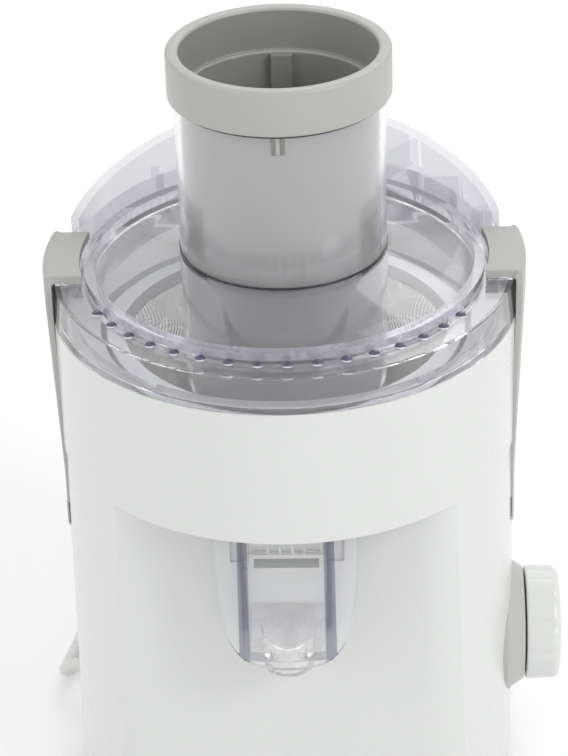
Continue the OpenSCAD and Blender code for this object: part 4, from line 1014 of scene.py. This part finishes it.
class JUICER_OT_stage(bpy.types.Operator):
    """Pale floor, soft studio light and the camera in front, above the lid"""

    bl_idname = "juicer.stage"
    bl_label = "Stage"

    def execute(self, context):
        scene = context.scene
        scene.view_settings.view_transform = "Standard"
        # Floor: it glows a little for the rays that see it, and keeps the juicer's shadow
        mesh = bpy.data.meshes.new("floor")
        corners = [(-1, -1), (1, -1), (1, 1), (-1, 1)]
        mesh.from_pydata([(x * FLOOR_REACH, y * FLOOR_REACH, -FLOOR_DROP) for x, y in corners], [],
                         [(0, 1, 2, 3)])
        material, nodes, links, shader = new_material("pale_floor")
        noise = grain(nodes, links, 3.0, 2.0)
        links.new(two_tone(nodes, links, noise.outputs["Fac"], (0.93, 0.93, 0.93), (0.90, 0.90, 0.905)),
                  shader.inputs["Base Color"])
        shader.inputs["Roughness"].default_value = 0.6
        shader.inputs["Specular IOR Level"].default_value = 0.2
        shader.inputs["Emission Color"].default_value = (1, 1, 1, 1)
        glow = nodes.new("ShaderNodeMath")
        glow.operation = "MULTIPLY"
        glow.inputs[1].default_value = FLOOR_GLOW
        links.new(seen_rays(nodes, links), glow.inputs[0])
        links.new(glow.outputs[0], shader.inputs["Emission Strength"])
        mesh.materials.append(material)
        floor = bpy.data.objects.new("floor", mesh)
        scene.collection.objects.link(floor)
        # World: plain studio light, which camera, mirror and glass rays see as white
        world = bpy.data.worlds.new("studio")
        world.use_nodes = True
        scene.world = world
        nodes, links = world.node_tree.nodes, world.node_tree.links
        background = nodes["Background"]
        links.new(two_tone(nodes, links, seen_rays(nodes, links), STUDIO_WHITE, (1, 1, 1)),
                  background.inputs["Color"])
        background.inputs["Strength"].default_value = 1.0
        for row in LAMPS:
            lamp(*row)
        lens = bpy.data.cameras.new("camera")
        lens.lens, lens.sensor_width = LENS_MM, SENSOR_MM
        lens.shift_y = LENS_SHIFT
        lens.clip_start, lens.clip_end = 0.05, 60
        camera = bpy.data.objects.new("camera", lens)
        scene.collection.objects.link(camera)
        right, up, forward = camera_axes()
        turned = np.column_stack([right, up, -forward, CAMERA_AT])
        camera.matrix_world = Matrix((*turned.tolist(), (0, 0, 0, 1)))
        scene.camera = camera
        return {"FINISHED"}


class JUICER_PT_panel(bpy.types.Panel):
    """Buttons for each group of pieces, with the sizes and colours"""

    bl_label = "Juicer"
    bl_space_type = "VIEW_3D"
    bl_region_type = "UI"
    bl_category = "Juicer"

    def draw(self, context):
        layout = self.layout
        for group in (context.scene.juicer_sizes, context.scene.juicer_colours):
            box = layout.box()
            for key in group.__annotations__:
                box.prop(group, key)
        for operator in OPERATORS:
            layout.operator(operator.bl_idname)


OPERATORS = (JUICER_OT_stage, JUICER_OT_cord, JUICER_OT_nodes, JUICER_OT_pusher, JUICER_OT_arms,
             JUICER_OT_lid, JUICER_OT_spout, JUICER_OT_knob, JUICER_OT_basket)
CLASSES = (JuicerSizes, JuicerColours, *OPERATORS, JUICER_PT_panel)


def register():
    for made in CLASSES:
        bpy.utils.register_class(made)
    bpy.types.Scene.juicer_sizes = PointerProperty(type=JuicerSizes)
    bpy.types.Scene.juicer_colours = PointerProperty(type=JuicerColours)


def unregister():
    del bpy.types.Scene.juicer_colours
    del bpy.types.Scene.juicer_sizes
    for made in reversed(CLASSES):
        bpy.utils.unregister_class(made)


def main():
    register()
    FINISH.update(make_finishes(bpy.context.scene.juicer_colours))
    bpy.ops.juicer.stage()
    bpy.ops.juicer.cord()
    bpy.ops.juicer.nodes()
    bpy.ops.juicer.pusher()
    bpy.ops.juicer.arms()
    bpy.ops.juicer.lid()
    bpy.ops.juicer.spout()
    bpy.ops.juicer.knob()
    bpy.ops.juicer.basket()


if __name__ == "__main__":
    main()
